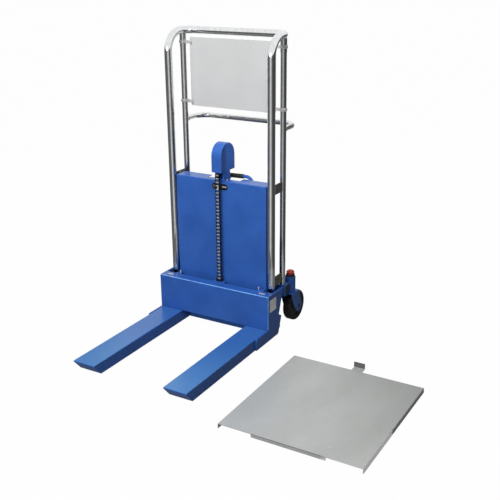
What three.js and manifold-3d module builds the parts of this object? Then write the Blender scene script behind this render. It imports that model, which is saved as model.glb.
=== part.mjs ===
// Portable hydraulic lift: a push-along stacker with a tube mast, two forks over two legs,
// a foot-pumped ram that lifts through a chain, and a loose platform lying beside it.
// Millimetres, +Z up. The lift's own middle is X = 0, its carriage face is Y = 0, the floor is Z = 0.
// The finished group is shifted so that its origin is the centre of its footprint on the floor.

import * as THREE from 'three';
import { mergeVertices } from 'three/addons/utils/BufferGeometryUtils.js';
import Module from 'manifold-3d';

const wasm = await Module();
wasm.setup();

// Clearances shared by the whole lift
const gap = 0.3;
const overrun = 4;
const bendSteps = 8;
const weldDistance = 1e-4;

// Forks: downturned channels that sit over the legs
const forkLength = 650;
const forkWidth = 113;
const forkTop = 64;
const forkFloorGap = 10;
const forkSheet = 5;
const forkTaper = 40;
const forkNose = 7;
const forkHeel = 60;
const forkRebate = 1;

// Carriage: the plate box that carries the forks
const carriageWidth = 596;
const carriageTop = 229;
const carriageSheet = 6;
const carriageFootBevel = 1;
const sideSheet = 8;
const topPlateDepth = 52;
const chainTabDepth = 76;
const chainTabHalfWidth = 30;
const guideTabDepth = 72;
const guideTabWidth = 26;
const sideTopDepth = 145;
const sideWaistDepth = 105;
const sideWaistHeight = 107;
const heelDepth = 124;
const heelTop = 92;
const heelCorner = 14;
const gussetReach = 107;
const gussetCorner = 9;

// Mast: the bent front tube, the two rear tubes and the flat ties between them. Insets across
// are measured from the carriage's edge.
const frontTubeInset = 35;
const frontTubeY = 92;
const frontTubeRadius = 17.5;
const frontTubeWall = 2.5;
const mastBendRadius = 90;
const mastCornerRadius = 45;
const mastBarY = 237;
const mastBarZ = 1359;
const rearTubeInset = 38;
const rearTubeY = 207;
const rearTubeRadius = 14;
const rearTubeWall = 2;
const tieSheet = 5;
const tieHeight = 46;
const lowerTieZ = 255;
const upperTieZ = 694;
const tieEarY = 128;

// Push handle behind the mast
const handleZ = 953;
const handleY = 340;
const handleRadius = 12.5;
const handleWall = 2;
const handleBendRadius = 65;

// Mast cover panel
const panelInset = 58;
const panelFront = 85;
const panelSheet = 2;
const panelDepth = 72;
const panelBottom = 60;
const panelTop = 714;
const panelNotchHalfWidth = 85;
const panelNotchFront = 122;
const rodSlotHalfWidth = 26;
const rodSlotFront = 92;
const panelSlotZ = 685;
const panelSlotLength = 84;
const panelSlotHeight = 30;

// Guard screen between the rear tubes, and its four clamps
const screenInset = 38;
const screenTopInset = 29;
const screenHeight = 310;
const screenSheet = 4;
const clampTopInset = 22;
const clampBottomInset = 20;
const clampHeight = 14;
const clampSheet = 3;
const clampLap = 12;
const clampTongueSheet = 4;

// Guide shoes round the front tubes
const shoeHeight = 32;
const shoeFront = 57;
const shoeBack = 112;
const shoeSlot = 10;
const shoeTopInset = 10;
const shoeSideGap = 1;
const lowerShoeZ = 75;

// Legs, cross member and load rollers
const legWidth = 92;
const legBack = 150;
const legTop = 54;
const legBottom = 18;
const legSheet = 4;
const loadRollerRadius = 24;
const loadRollerWidth = 60;
const loadRollerInset = 90;
const loadRollerRoom = 12;
const loadRollerHub = 2;
const loadPinRadius = 6;
const crossFront = 66;
const crossBack = 140;

// Rear beam with its stays and lugs
const beamInset = 14;
const beamFront = 190;
const beamBottom = 160;
const beamTop = 215;
const beamSheet = 5;
const stayEdge = 0.8;
const staySheet = 8;
const stayFront = 98;
const stayKnee = 150;
const stayBack = 172;

// Casters
const casterInset = 28;
const casterY = 270;
const columnRadius = 25;
const columnBottom = 160;
const columnTop = 236;
const stemRadius = 12;
const casterTrail = 37;
const wheelRadius = 75;
const wheelWidth = 45;
const wheelShoulder = 8;
const hubRadius = 24;
const hubStand = 1.5;
const axleRadius = 6;
const crownSheet = 6;
const crownFront = 37;
const crownBack = 36;
const cheekSheet = 5;
const cheekGap = 2.5;
const cheekFoot = 31;
const cheekFootStart = 215;
const cheekFootEnd = 380;
const cheekFrontZ = 140;
const cheekWaistFront = 50;
const cheekWaistFrontZ = 86;
const cheekWaistBack = 12;
const cheekWaistBackZ = 124;
const cheekShoulderBack = 6;
const cheekShoulderZ = 147;

// Parking brake plunger on each caster
const brakeRodRadius = 4;
const brakeCupRadius = 21;
const brakeCupHeight = 11;
const brakeCupWall = 3.5;
const brakeCupFloor = 3;
const brakeTravel = 8;
const brakeKnobRadius = 19.5;
const brakeKnobHeight = 12;

// Hydraulic ram, its chain wheel and the wheel's cover
const ramY = 110;
const cylinderRadius = 21;
const cylinderBore = 16;
const cylinderTop = 690;
const cylinderFloor = 12;
const glandHeight = 12;
const collarRadius = 26;
const collarSkirt = 11;
const collarLand = 3;
const rodRadius = 12.5;
const pistonFoot = 70;
const pistonHeight = 24;
const pistonRadius = 15.7;
const rodTop = 715;
const chainPitchRadius = 44;
const chainHalfDepth = 6;
const chainHalfWidth = 11;
const chainPitch = 19.05;
const chainWaistShare = 0.62;
const chainWheelZ = 826;
const chainWheelWidth = 28;
const chainWheelLip = 4;
const chainWheelGroove = 11.6;
const chainWheelAxle = 8;
const yokeHalfWidth = 20;
const yokeSheet = 5;
const yokeBase = 8;
const yokeFootFront = 28;
const yokeFootBack = 36;
const yokeFootHalfWidth = 26;
const yokeKneeRise = 40;
const yokeKneeBack = 27;
const yokeHeadHalf = 17;
const yokeHeadRise = 18;
const coverRadius = 60;
const coverShift = 7;
const coverHalfWidth = 26;
const coverSheet = 2;
const coverBottom = 757;
const clevisHeight = 21;
const clevisHalfWidth = 14;
const clevisDepth = 18;
const rearAnchorTop = 225;
const rearAnchorHalfWidth = 14;
const rearAnchorSheet = 10;

// Pump, pedal and its plunger
const pumpHalfWidth = 38;
const pumpBack = 306;
const pumpTop = 120;
const plungerY = 290;
const plungerRadius = 9;
const plungerDepth = 20;
const plungerTravel = 11;
const plungerTop = 157.7;
const plungerHeadRadius = 15;
const plungerHeadHeight = 7;
const springWire = 1.5;
const springRadius = 12.5;
const springTurns = 4;
const springBend = 3.2;
const pedalPivotY = 262;
const pedalPivotZ = 175;
const pedalHubRadius = 11;
const pedalPinRadius = 5;
const pedalArmWidth = 10;
const pedalArmDepth = 18;
const pedalBumpRadius = 6;
const pedalPadFront = 328;
const pedalPadBack = 379;
const pedalPadHalfWidth = 48;
const pedalPadZ = 186;
const pedalPadSheet = 8;
const lugSheet = 6;

// Lowering lever, its bracket and its cable
const leverX = 119;
const leverY = 178;
const leverPivotZ = 232;
const leverRadius = 8;
const leverHubRadius = 12;
const leverHubWidth = 17;
const leverTopZ = 723;
const leverBendRadius = 34;
const leverTilt = THREE.MathUtils.degToRad(2);
const gripLength = 76;
const gripRadius = 10.5;
const gripStart = 13;
const cableRadius = 2.5;
const cableEndX = 26;
const cableEndY = 165;
const cableSteps = 20;
const cableShares = { lead: 0.18, high: 0.6, low: 0.42 };

// Loose platform, lying on the floor to the right of the forks
const platformX = 768;
const platformY = -397;
const platformWidth = 592;
const platformLength = 634;
const platformHeight = 21;
const platformSheet = 2.5;
const platformLipHeight = 16;
const platformLipWidth = 304;
const platformHookWidth = 50;
const platformHookReach = 33;
const platformHookRise = 25;

// Finishes
const finish = (color, roughness, metalness) =>
  () => new THREE.MeshStandardMaterial({ color, roughness, metalness });
const bluePaint = finish(0x2350a0, 0.42, 0.1);
const chromeTube = finish(0xc8ccd0, 0.12, 1);
const zincPlate = finish(0xb8b8a8, 0.35, 0.9);
const polishedRod = finish(0xd4d8dc, 0.1, 1);
const blackSteel = finish(0x1c1c1e, 0.4, 0.7);
const blackRubber = finish(0x151515, 0.8, 0);
const tyreRubber = finish(0x101012, 0.65, 0);
const redPlastic = finish(0xc0302c, 0.35, 0);
const nylon = finish(0x35373a, 0.5, 0);
const screenPlastic = finish(0xcdcdcd, 0.2, 0);
const platformSteel = finish(0x9a9c9e, 0.45, 0.7);

// Positions that follow from the sizes above
const halfWidth = carriageWidth / 2;
const forkOuter = halfWidth - sideSheet - gap;
const forkMiddle = forkOuter - forkWidth / 2;
const forkSeatZ = forkTop - forkRebate;
const frontTubeX = halfWidth - frontTubeInset;
const rearTubeX = halfWidth - rearTubeInset;
const panelHalfWidth = halfWidth - panelInset;
const screenHalfWidth = rearTubeX - screenInset;
const screenTop = mastBarZ - screenTopInset;
const screenBottom = screenTop - screenHeight;
const loadRollerReach = forkLength - loadRollerInset;
const legFront = loadRollerReach + loadRollerRadius + loadRollerRoom + legSheet;
const beamHalfWidth = halfWidth - beamInset;
const stayOffset = forkMiddle - legWidth / 2 + stayEdge + staySheet / 2;
const casterX = halfWidth - casterInset;
const brakeReach = Math.sqrt(wheelRadius ** 2 - (casterTrail - brakeRodRadius) ** 2);
const brakeRodTip = wheelRadius + brakeReach + brakeTravel + gap;
const tieX = (frontTubeX + rearTubeX) / 2;
const beamBack = casterY - columnRadius - gap;
const frontChainY = ramY - chainPitchRadius;
const rearChainY = ramY + chainPitchRadius;
const clevisTop = carriageTop + gap + clevisHeight;

const lift = new THREE.Group();

// Shape helpers

function toSolid(geometry) {
  const plain = geometry.clone();
  plain.deleteAttribute('normal');
  plain.deleteAttribute('uv');
  const merged = mergeVertices(plain, weldDistance);
  return new wasm.Manifold(new wasm.Mesh({
    numProp: 3,
    vertProperties: new Float32Array(merged.attributes.position.array),
    triVerts: new Uint32Array(merged.index.array),
  }));
}

function toGeometry(solid) {
  const mesh = solid.getMesh();
  const geometry = new THREE.BufferGeometry();
  geometry.setAttribute('position', new THREE.BufferAttribute(mesh.vertProperties, 3));
  geometry.setIndex(new THREE.BufferAttribute(mesh.triVerts, 1));
  return geometry;
}

const join = (...pieces) => toGeometry(pieces.map(toSolid).reduce((a, b) => a.add(b)));

const cut = (body, ...tools) =>
  toGeometry(tools.map(toSolid).reduce((a, b) => a.subtract(b), toSolid(body)));

function block(x0, x1, y0, y1, z0, z1) {
  return new THREE.BoxGeometry(x1 - x0, y1 - y0, z1 - z0)
    .translate((x0 + x1) / 2, (y0 + y1) / 2, (z0 + z1) / 2);
}

function outline(points, holes = []) {
  const shape = new THREE.Shape(points.map(([a, b]) => new THREE.Vector2(a, b)));
  shape.holes = holes.map((hole) => new THREE.Path(hole.map(([a, b]) => new THREE.Vector2(a, b))));
  return shape;
}

function arcPoints(a, b, radius, from, to, steps) {
  return Array.from({ length: steps + 1 }, (_, i) => {
    const angle = THREE.MathUtils.degToRad(from + (to - from) * i / steps);
    return [a + radius * Math.cos(angle), b + radius * Math.sin(angle)];
  });
}

// A flat outline in XY, raised from z0 to z1
function prismZ(points, z0, z1, holes) {
  return new THREE.ExtrudeGeometry(outline(points, holes), { depth: z1 - z0, bevelEnabled: false })
    .translate(0, 0, z0);
}

// A flat outline in YZ, run from x0 to x1
function prismX(points, x0, x1, holes) {
  const turn = new THREE.Matrix4().makeBasis(
    new THREE.Vector3(0, 1, 0), new THREE.Vector3(0, 0, 1), new THREE.Vector3(1, 0, 0));
  return new THREE.ExtrudeGeometry(outline(points, holes), { depth: x1 - x0, bevelEnabled: false })
    .applyMatrix4(turn).translate(x0, 0, 0);
}

// A flat outline in XZ, run from y0 to y1
function prismY(points, y0, y1) {
  return new THREE.ExtrudeGeometry(outline(points), { depth: y1 - y0, bevelEnabled: false })
    .rotateX(Math.PI / 2).translate(0, y1, 0);
}

function rodZ(x, y, z0, z1, radius, sides = 24) {
  return new THREE.CylinderGeometry(radius, radius, z1 - z0, sides)
    .rotateX(Math.PI / 2).translate(x, y, (z0 + z1) / 2);
}

function rodX(x0, x1, y, z, radius, sides = 24) {
  return new THREE.CylinderGeometry(radius, radius, x1 - x0, sides)
    .rotateZ(Math.PI / 2).translate((x0 + x1) / 2, y, z);
}

function rodY(x, y0, y1, z, radius, sides = 12) {
  return new THREE.CylinderGeometry(radius, radius, y1 - y0, sides)
    .translate(x, (y0 + y1) / 2, z);
}

// A profile of [radius, height] pairs spun round the vertical through x, y
function spunZ(profile, x, y, sides = 24) {
  return new THREE.LatheGeometry(profile.map(([r, z]) => new THREE.Vector2(r, z)), sides)
    .rotateX(Math.PI / 2).translate(x, y, 0);
}

// The same profile with its heights laid along X, round the line through y, z
function spunX(profile, x, y, z, sides = 28) {
  return new THREE.LatheGeometry(profile.map(([r, h]) => new THREE.Vector2(r, h)), sides)
    .rotateZ(-Math.PI / 2).translate(x, y, z);
}

// A route through corner points whose corners are rounded to the given radii
function bentRoute(corners, radii, steps = bendSteps) {
  const points = corners.map((p) => new THREE.Vector3(...p));
  const stations = [points[0]];
  for (let i = 1; i < points.length - 1; i += 1) {
    const back = points[i - 1].clone().sub(points[i]).normalize();
    const ahead = points[i + 1].clone().sub(points[i]).normalize();
    const half = back.angleTo(ahead) / 2;
    const centre = points[i].clone()
      .addScaledVector(back.clone().add(ahead).normalize(), radii[i - 1] / Math.sin(half));
    const start = points[i].clone().addScaledVector(back, radii[i - 1] / Math.tan(half)).sub(centre);
    const turn = new THREE.Vector3().crossVectors(ahead, back).normalize();
    for (let k = 0; k <= steps; k += 1) {
      const angle = (Math.PI - 2 * half) * k / steps;
      stations.push(start.clone().applyAxisAngle(turn, angle).add(centre));
    }
  }
  stations.push(points[points.length - 1]);
  return stations;
}

class StationCurve extends THREE.Curve {
  constructor(stations) {
    super();
    this.stations = stations;
  }

  getPoint(t, target = new THREE.Vector3()) {
    const last = this.stations.length - 1;
    const i = Math.min(Math.floor(t * last + 1e-9), last - 1);
    return target.lerpVectors(this.stations[i], this.stations[i + 1], t * last - i);
  }

  getPointAt(u, target) {
    return this.getPoint(u, target);
  }

  getTangentAt(u, target = new THREE.Vector3()) {
    const last = this.stations.length - 1;
    const i = Math.round(u * last);
    const before = this.stations[Math.max(i - 1, 0)];
    const after = this.stations[Math.min(i + 1, last)];
    const here = this.stations[i];
    const into = here.clone().sub(before).normalize();
    const out = after.clone().sub(here).normalize();
    return target.copy(into.add(out)).normalize();
  }
}

// A tube along stations, hollow when a wall is given
function tube(stations, radius, wall = 0, sides = 16) {
  const ring = (r, n) => arcPoints(0, 0, r, 0, 360, n).slice(0, -1);
  const shape = outline(ring(radius, sides), wall ? [ring(radius - wall, sides / 2)] : []);
  return new THREE.ExtrudeGeometry(shape, {
    steps: stations.length - 1,
    extrudePath: new StationCurve(stations),
  });
}

function add(name, geometry, material, parent = lift) {
  const mesh = new THREE.Mesh(geometry, material());
  mesh.name = name;
  parent.add(mesh);
  return mesh;
}

// Adds a left and a right copy of a piece that is made for one side, 1 for right and -1 for left
function addPair(name, make, material) {
  add(`left_${name}`, make(-1), material);
  add(`right_${name}`, make(1), material);
}

// Sorts two X values so that mirrored blocks keep their faces out
const sided = (side, a, b) => (side > 0 ? [a, b] : [-b, -a]);

// Forks

function fork(side) {
  const [x0, x1] = sided(side, forkOuter - forkWidth, forkOuter);
  const slope = Math.atan2(forkTop - forkNose - forkFloorGap, forkTaper);
  const inset = forkSheet / Math.sin(slope);
  const shell = prismX([
    [-forkLength, forkTop], [-forkLength, forkTop - forkNose],
    [-forkLength + forkTaper, forkFloorGap], [forkHeel, forkFloorGap],
    [forkHeel, forkSeatZ], [-gap, forkSeatZ], [-gap, forkTop],
  ], x0, x1);
  const run = (forkTaper / (forkTop - forkNose - forkFloorGap));
  const ceiling = forkTop - forkSheet;
  const inner = prismX([
    [-forkLength + inset + run * (forkTop - forkNose - ceiling), ceiling],
    [-forkLength + inset + forkTaper + run * overrun, forkFloorGap - overrun],
    [forkHeel + overrun, forkFloorGap - overrun], [forkHeel + overrun, ceiling],
  ], x0 + forkSheet, x1 - forkSheet);
  return cut(shell, inner);
}

// Carriage

// The plate's foot is bevelled for its weld and stands in the forks' rebate
function frontPlate() {
  return prismX([
    [0, carriageTop], [0, forkTop + gap], [carriageFootBevel, forkSeatZ + gap],
    [carriageSheet, forkSeatZ + gap], [carriageSheet, carriageTop],
  ], -halfWidth, halfWidth);
}

function topPlate() {
  const y0 = carriageSheet + gap;
  const tabInner = panelHalfWidth + shoeSideGap - guideTabWidth;
  const tabOuter = panelHalfWidth + shoeSideGap;
  const half = [
    [forkOuter, y0], [forkOuter, topPlateDepth],
    [tabOuter, topPlateDepth], [tabOuter, guideTabDepth],
    [tabInner, guideTabDepth], [tabInner, topPlateDepth],
    [chainTabHalfWidth, topPlateDepth], [chainTabHalfWidth, chainTabDepth],
  ];
  const mirrored = half.map(([x, y]) => [-x, y]).reverse();
  return prismZ([...half, ...mirrored], carriageTop - carriageSheet, carriageTop);
}

function sidePlate(side) {
  const [x0, x1] = sided(side, halfWidth - sideSheet, halfWidth);
  const behind = carriageSheet + gap;
  return prismX([
    [-gussetReach, forkFloorGap],
    ...arcPoints(-gussetReach + gussetCorner, forkTop - gussetCorner, gussetCorner, 180, 90, 4),
    [-gap, forkTop], [-gap, forkSeatZ], [behind, forkSeatZ],
    [behind, carriageTop], [sideTopDepth, carriageTop],
    [sideWaistDepth, sideWaistHeight], [heelDepth, heelTop],
    ...arcPoints(sideWaistDepth - heelCorner, forkFloorGap + heelCorner, heelCorner, 0, -90, 4),
  ], x0, x1);
}

function guideShoe(side, z0) {
  const [x0, x1] = sided(side, panelHalfWidth + shoeSideGap, forkOuter);
  const holeRadius = frontTubeRadius + gap;
  const x = side * frontTubeX;
  const body = block(x0, x1, shoeFront, shoeBack, z0, z0 + shoeHeight);
  const hole = rodZ(x, frontTubeY, z0 - overrun, z0 + shoeHeight + overrun, holeRadius, 32);
  const slotX = side * tieX;
  const slot = block(slotX - shoeSlot / 2, slotX + shoeSlot / 2, frontTubeY, shoeBack + overrun,
    z0 - overrun, z0 + shoeHeight + overrun);
  return cut(body, hole, slot);
}

function chainClevis() {
  const y = frontChainY;
  const z = carriageTop + gap;
  const head = clevisDepth / 2;
  return prismX([
    [y - head, z], [y + head, z],
    ...arcPoints(y, clevisTop - head, head, 0, 180, 8),
  ], -clevisHalfWidth, clevisHalfWidth);
}

// Mast

function mastRoute() {
  const foot = legTop + gap;
  const side = (s) => [
    [s * frontTubeX, frontTubeY, foot],
    [s * frontTubeX, frontTubeY, mastBarZ],
    [s * frontTubeX, mastBarY, mastBarZ],
  ];
  return bentRoute([...side(-1), ...side(1).reverse()],
    [mastBendRadius, mastCornerRadius, mastCornerRadius, mastBendRadius]);
}

function frontTube() {
  return tube(mastRoute(), frontTubeRadius, frontTubeWall);
}

function rearTube(side) {
  const x = side * rearTubeX;
  const z0 = beamTop + gap;
  const z1 = mastBarZ - frontTubeRadius / 2;
  return cut(
    rodZ(x, rearTubeY, z0, z1, rearTubeRadius),
    rodZ(x, rearTubeY, z0 - overrun, z1 + overrun, rearTubeRadius - rearTubeWall, 16),
    tube(mastRoute(), frontTubeRadius + gap),
  );
}

function tiePlate(side, z) {
  const centre = side * tieX;
  const front = frontTubeY + frontTubeRadius + gap;
  const back = rearTubeY - rearTubeRadius - gap;
  const inner = centre - side * tieSheet / 2;
  const outer = centre + side * tieSheet / 2;
  const ear = side * (panelHalfWidth + gap);
  const points = [
    [inner, front], [outer, front], [outer, back], [inner, back],
    [inner, tieEarY + tieSheet], [ear, tieEarY + tieSheet], [ear, tieEarY], [inner, tieEarY],
  ];
  return prismZ(points, z - tieHeight / 2, z + tieHeight / 2);
}

function pushHandle() {
  const ends = [-1, 1].map((s) => [s * rearTubeX, rearTubeY, handleZ]);
  const corners = [-1, 1].map((s) => [s * rearTubeX, handleY, handleZ]);
  const route = bentRoute([ends[0], corners[0], corners[1], ends[1]],
    [handleBendRadius, handleBendRadius]);
  const seats = [-1, 1].map((s) => rodZ(s * rearTubeX, rearTubeY, handleZ - 2 * handleRadius,
    handleZ + 2 * handleRadius, rearTubeRadius + gap));
  return cut(tube(route, handleRadius, handleWall), ...seats);
}

function mastPanel() {
  const w = panelHalfWidth;
  const back = panelFront + panelDepth;
  const inside = panelFront + panelSheet;
  const box = block(-w, w, panelFront, back, panelBottom, panelTop);
  const hollow = block(-w + panelSheet, w - panelSheet, inside, back + overrun,
    panelBottom - overrun, panelTop - panelSheet);
  const notch = block(-panelNotchHalfWidth, panelNotchHalfWidth, panelNotchFront, back + overrun,
    panelTop - panelSheet - overrun, panelTop + overrun);
  const rodSlot = block(-rodSlotHalfWidth, rodSlotHalfWidth, rodSlotFront, back,
    panelTop - panelSheet - overrun, panelTop + overrun);
  const r = panelSlotHeight / 2;
  const reach = panelSlotLength / 2 - r;
  const window = prismY([
    ...arcPoints(reach, panelSlotZ, r, -90, 90, 8),
    ...arcPoints(-reach, panelSlotZ, r, 90, 270, 8),
  ], panelFront - overrun, inside + overrun);
  return cut(box, hollow, notch, rodSlot, window);
}

function guardScreen() {
  return block(-screenHalfWidth, screenHalfWidth, rearTubeY - screenSheet / 2,
    rearTubeY + screenSheet / 2, screenBottom, screenTop);
}

// A ring round the rear tube with a tongue that laps the front of the screen and is bolted to it
function screenClamp(side, z) {
  const x = side * rearTubeX;
  const z0 = z - clampHeight / 2;
  const z1 = z + clampHeight / 2;
  const ringRadius = rearTubeRadius + gap + clampSheet;
  const face = rearTubeY - screenSheet / 2 - gap;
  const [x0, x1] = sided(side, screenHalfWidth - clampLap, rearTubeX);
  const boltX = side * (screenHalfWidth - clampLap / 2);
  const body = join(
    rodZ(x, rearTubeY, z0, z1, ringRadius),
    block(x0, x1, face - clampTongueSheet, face, z0, z1),
    rodY(boltX, face - 2 * clampTongueSheet, face, z, clampHeight / 3),
  );
  return cut(body, rodZ(x, rearTubeY, z0 - overrun, z1 + overrun, rearTubeRadius + gap));
}

// Base frame

function leg(side) {
  const middle = side * forkMiddle;
  const half = legWidth / 2;
  const shell = block(middle - half, middle + half, -legFront, legBack, legBottom, legTop);
  const hollow = block(middle - half + legSheet, middle + half - legSheet, -legFront + legSheet,
    legBack + overrun, legBottom - overrun, legTop - legSheet);
  const pin = rodX(middle - half + legSheet / 2, middle + half - legSheet / 2, -loadRollerReach,
    loadRollerRadius, loadPinRadius, 16);
  return toGeometry(toSolid(shell).subtract(toSolid(hollow)).add(toSolid(pin)));
}

function loadRoller(side) {
  const half = loadRollerWidth / 2;
  const bore = loadPinRadius + gap;
  const r = loadRollerRadius;
  return spunX([
    [bore, -half], [r - loadRollerHub, -half], [r, -half + loadRollerHub],
    [r, half - loadRollerHub], [r - loadRollerHub, half], [bore, half], [bore, -half],
  ], side * forkMiddle, -loadRollerReach, loadRollerRadius);
}

function crossMember() {
  const reach = forkMiddle - legWidth / 2 - gap;
  const shell = block(-reach, reach, crossFront, crossBack, legBottom, legTop);
  const hollow = block(-reach - overrun, reach + overrun, crossFront + legSheet,
    crossBack - legSheet, legBottom - overrun, legTop - legSheet);
  return cut(shell, hollow);
}

// The beam, its two stays down to the legs, the pedal's lugs and the lever's lug
function rearBeam() {
  const shell = block(-beamHalfWidth, beamHalfWidth, beamFront, beamBack, beamBottom, beamTop);
  const hollow = block(-beamHalfWidth - overrun, beamHalfWidth + overrun, beamFront + beamSheet,
    beamBack - beamSheet, beamBottom + beamSheet, beamTop - beamSheet);
  const foot = legTop + gap;
  const stays = [-1, 1].map((s) => prismX([
    [stayFront, foot], [stayKnee, foot], [stayBack, beamBottom], [beamFront + beamSheet / 2, beamBottom],
    [beamFront + beamSheet / 2, beamTop], [stayKnee, beamTop], [stayFront, beamBottom],
  ], s * stayOffset - staySheet / 2, s * stayOffset + staySheet / 2));
  const pedalLugs = [-1, 1].map((s) => {
    const [x0, x1] = sided(s, pedalArmWidth / 2 + 2 * gap, pedalArmWidth / 2 + 2 * gap + lugSheet);
    return prismX([
      [beamBack - beamSheet / 2, pedalPivotZ - pedalHubRadius],
      ...arcPoints(pedalPivotY, pedalPivotZ, pedalHubRadius, -90, 90, 8),
      [beamBack - beamSheet / 2, pedalPivotZ + pedalHubRadius],
    ], x0, x1);
  });
  const pinReach = pedalArmWidth / 2 + lugSheet;
  const pedalPin = rodX(-pinReach, pinReach, pedalPivotY, pedalPivotZ, pedalPinRadius, 16);
  const leverSide = leverX + leverHubWidth / 2 + gap;
  const leverLug = prismX([
    [beamFront, beamTop - beamSheet / 2], [beamFront + 4 * lugSheet, beamTop - beamSheet / 2],
    ...arcPoints(leverY, leverPivotZ, leverHubRadius, 90, 270, 8),
  ], leverSide, leverSide + lugSheet);
  const leverPin = rodX(leverX - leverHubWidth / 2, leverSide + lugSheet / 2, leverY, leverPivotZ,
    pedalPinRadius, 16);
  const solids = [...stays, ...pedalLugs, pedalPin, leverLug, leverPin].map(toSolid);
  return toGeometry(solids.reduce((a, b) => a.add(b), toSolid(shell).subtract(toSolid(hollow))));
}

function casterColumn(side) {
  const bore = stemRadius + gap;
  return spunZ([
    [bore, columnBottom], [columnRadius, columnBottom], [columnRadius, columnTop],
    [bore, columnTop], [bore, columnBottom],
  ], side * casterX, casterY);
}

// Casters

function casterFork(side) {
  const x = side * casterX;
  const wheelY = casterY + casterTrail;
  const inner = wheelWidth / 2 + hubStand + cheekGap;
  const outer = inner + cheekSheet;
  const top = columnBottom - gap;
  const under = top - crownSheet;
  const crown = block(x - outer, x + outer, casterY - crownFront, casterY + crownBack, under, top);
  const stem = rodZ(x, casterY, under, columnTop - gap, stemRadius);
  const cheeks = [-1, 1].map((s) => {
    const [a, b] = s > 0 ? [x + inner, x + outer] : [x - outer, x - inner];
    return prismX([
      [casterY - crownFront, top], [casterY - crownFront, cheekFrontZ],
      [wheelY - cheekWaistFront, cheekWaistFrontZ],
      ...arcPoints(wheelY, wheelRadius, cheekFoot, cheekFootStart, cheekFootEnd, 12),
      [wheelY + cheekWaistBack, cheekWaistBackZ], [wheelY + cheekShoulderBack, cheekShoulderZ],
      [casterY + crownBack, top],
    ], a, b);
  });
  const axle = rodX(x - outer, x + outer, wheelY, wheelRadius, axleRadius, 16);
  const bore = rodZ(x, casterY, under - overrun, columnTop + overrun, brakeRodRadius + gap, 12);
  return toGeometry([stem, ...cheeks, axle].map(toSolid)
    .reduce((a, b) => a.add(b), toSolid(crown)).subtract(toSolid(bore)));
}

function casterWheel(side) {
  const half = wheelWidth / 2;
  const bore = axleRadius + gap;
  const hub = half + hubStand;
  const edge = [
    [hubRadius, half], [wheelRadius - wheelShoulder, half],
    [wheelRadius - wheelShoulder / 4, half - wheelShoulder / 3],
    [wheelRadius, half - wheelShoulder],
  ];
  const mirrored = edge.map(([r, h]) => [r, -h]);
  return spunX([
    [bore, -hub], [hubRadius, -hub], ...mirrored,
    ...edge.reverse(), [hubRadius, hub], [bore, hub], [bore, -hub],
  ], side * casterX, casterY + casterTrail, wheelRadius, 32);
}

function brakeCup(side) {
  const z = columnTop + gap;
  const inner = brakeCupRadius - brakeCupWall;
  const bore = brakeRodRadius + gap;
  return spunZ([
    [bore, z], [brakeCupRadius, z], [brakeCupRadius, z + brakeCupHeight],
    [inner, z + brakeCupHeight], [inner, z + brakeCupFloor], [bore, z + brakeCupFloor], [bore, z],
  ], side * casterX, casterY);
}

function brakeKnob(side) {
  const skirt = brakeCupRadius - brakeCupWall - 2 * gap;
  const floor = columnTop + gap + brakeCupFloor + brakeTravel + gap;
  const rim = columnTop + gap + brakeCupHeight + brakeTravel + gap;
  const dome = arcPoints(0, 0, 1, 0, 90, 6).map(([c, s]) => [
    brakeKnobRadius * c, rim + brakeKnobHeight * s,
  ]);
  return spunZ([
    [0, brakeRodTip], [brakeRodRadius, brakeRodTip], [brakeRodRadius, floor], [skirt, floor],
    [skirt, rim], ...dome.slice(0, -1), [0, rim + brakeKnobHeight],
  ], side * casterX, casterY);
}

// Ram and chain

function cylinder() {
  const z0 = legTop + gap;
  return spunZ([
    [0, z0], [cylinderRadius, z0], [cylinderRadius, cylinderTop], [cylinderBore, cylinderTop],
    [cylinderBore, z0 + cylinderFloor], [0, z0 + cylinderFloor],
  ], 0, ramY);
}

// The nut that closes the cylinder: a skirt outside the tube and a bored head above it
function glandNut() {
  const bore = rodRadius + gap;
  const skirt = cylinderRadius + gap;
  const seat = cylinderTop + gap;
  const foot = cylinderTop - collarSkirt;
  return spunZ([
    [skirt, foot], [collarRadius, foot], [collarRadius, seat + collarLand],
    [cylinderRadius, seat + collarLand], [cylinderRadius, seat + glandHeight],
    [bore, seat + glandHeight], [bore, seat], [skirt, seat], [skirt, foot],
  ], 0, ramY);
}

function ramRod() {
  const shoulder = pistonFoot + pistonHeight;
  return spunZ([
    [0, pistonFoot], [pistonRadius, pistonFoot], [pistonRadius, shoulder], [rodRadius, shoulder],
    [rodRadius, rodTop], [0, rodTop],
  ], 0, ramY);
}

// The yoke flares to a wide foot below the cover
function yoke() {
  const z0 = rodTop + gap;
  const knee = z0 + yokeKneeRise;
  const head = chainWheelZ + yokeHeadRise;
  const w = yokeHalfWidth;
  const foot = yokeFootHalfWidth;
  const seenFromSide = prismX([
    [ramY - yokeFootFront, z0], [ramY + yokeFootBack, z0], [ramY + yokeKneeBack, knee],
    [ramY + yokeHeadHalf, head], [ramY - yokeHeadHalf, head],
  ], -foot - overrun, foot + overrun);
  const seenFromFront = prismY([[-foot, z0], [foot, z0], [w, knee], [w, head], [-w, head], [-w, knee]],
    ramY - yokeFootFront - overrun, ramY + yokeFootBack + overrun);
  const body = toGeometry(toSolid(seenFromSide).intersect(toSolid(seenFromFront)));
  const mouth = yokeHalfWidth - yokeSheet;
  const opening = block(-mouth, mouth, ramY - 2 * yokeFootFront, ramY + 2 * yokeFootBack,
    z0 + yokeBase, head + overrun);
  const bore = rodX(-yokeHalfWidth - overrun, yokeHalfWidth + overrun, ramY, chainWheelZ,
    chainWheelAxle + gap);
  return cut(body, opening, bore);
}

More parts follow.
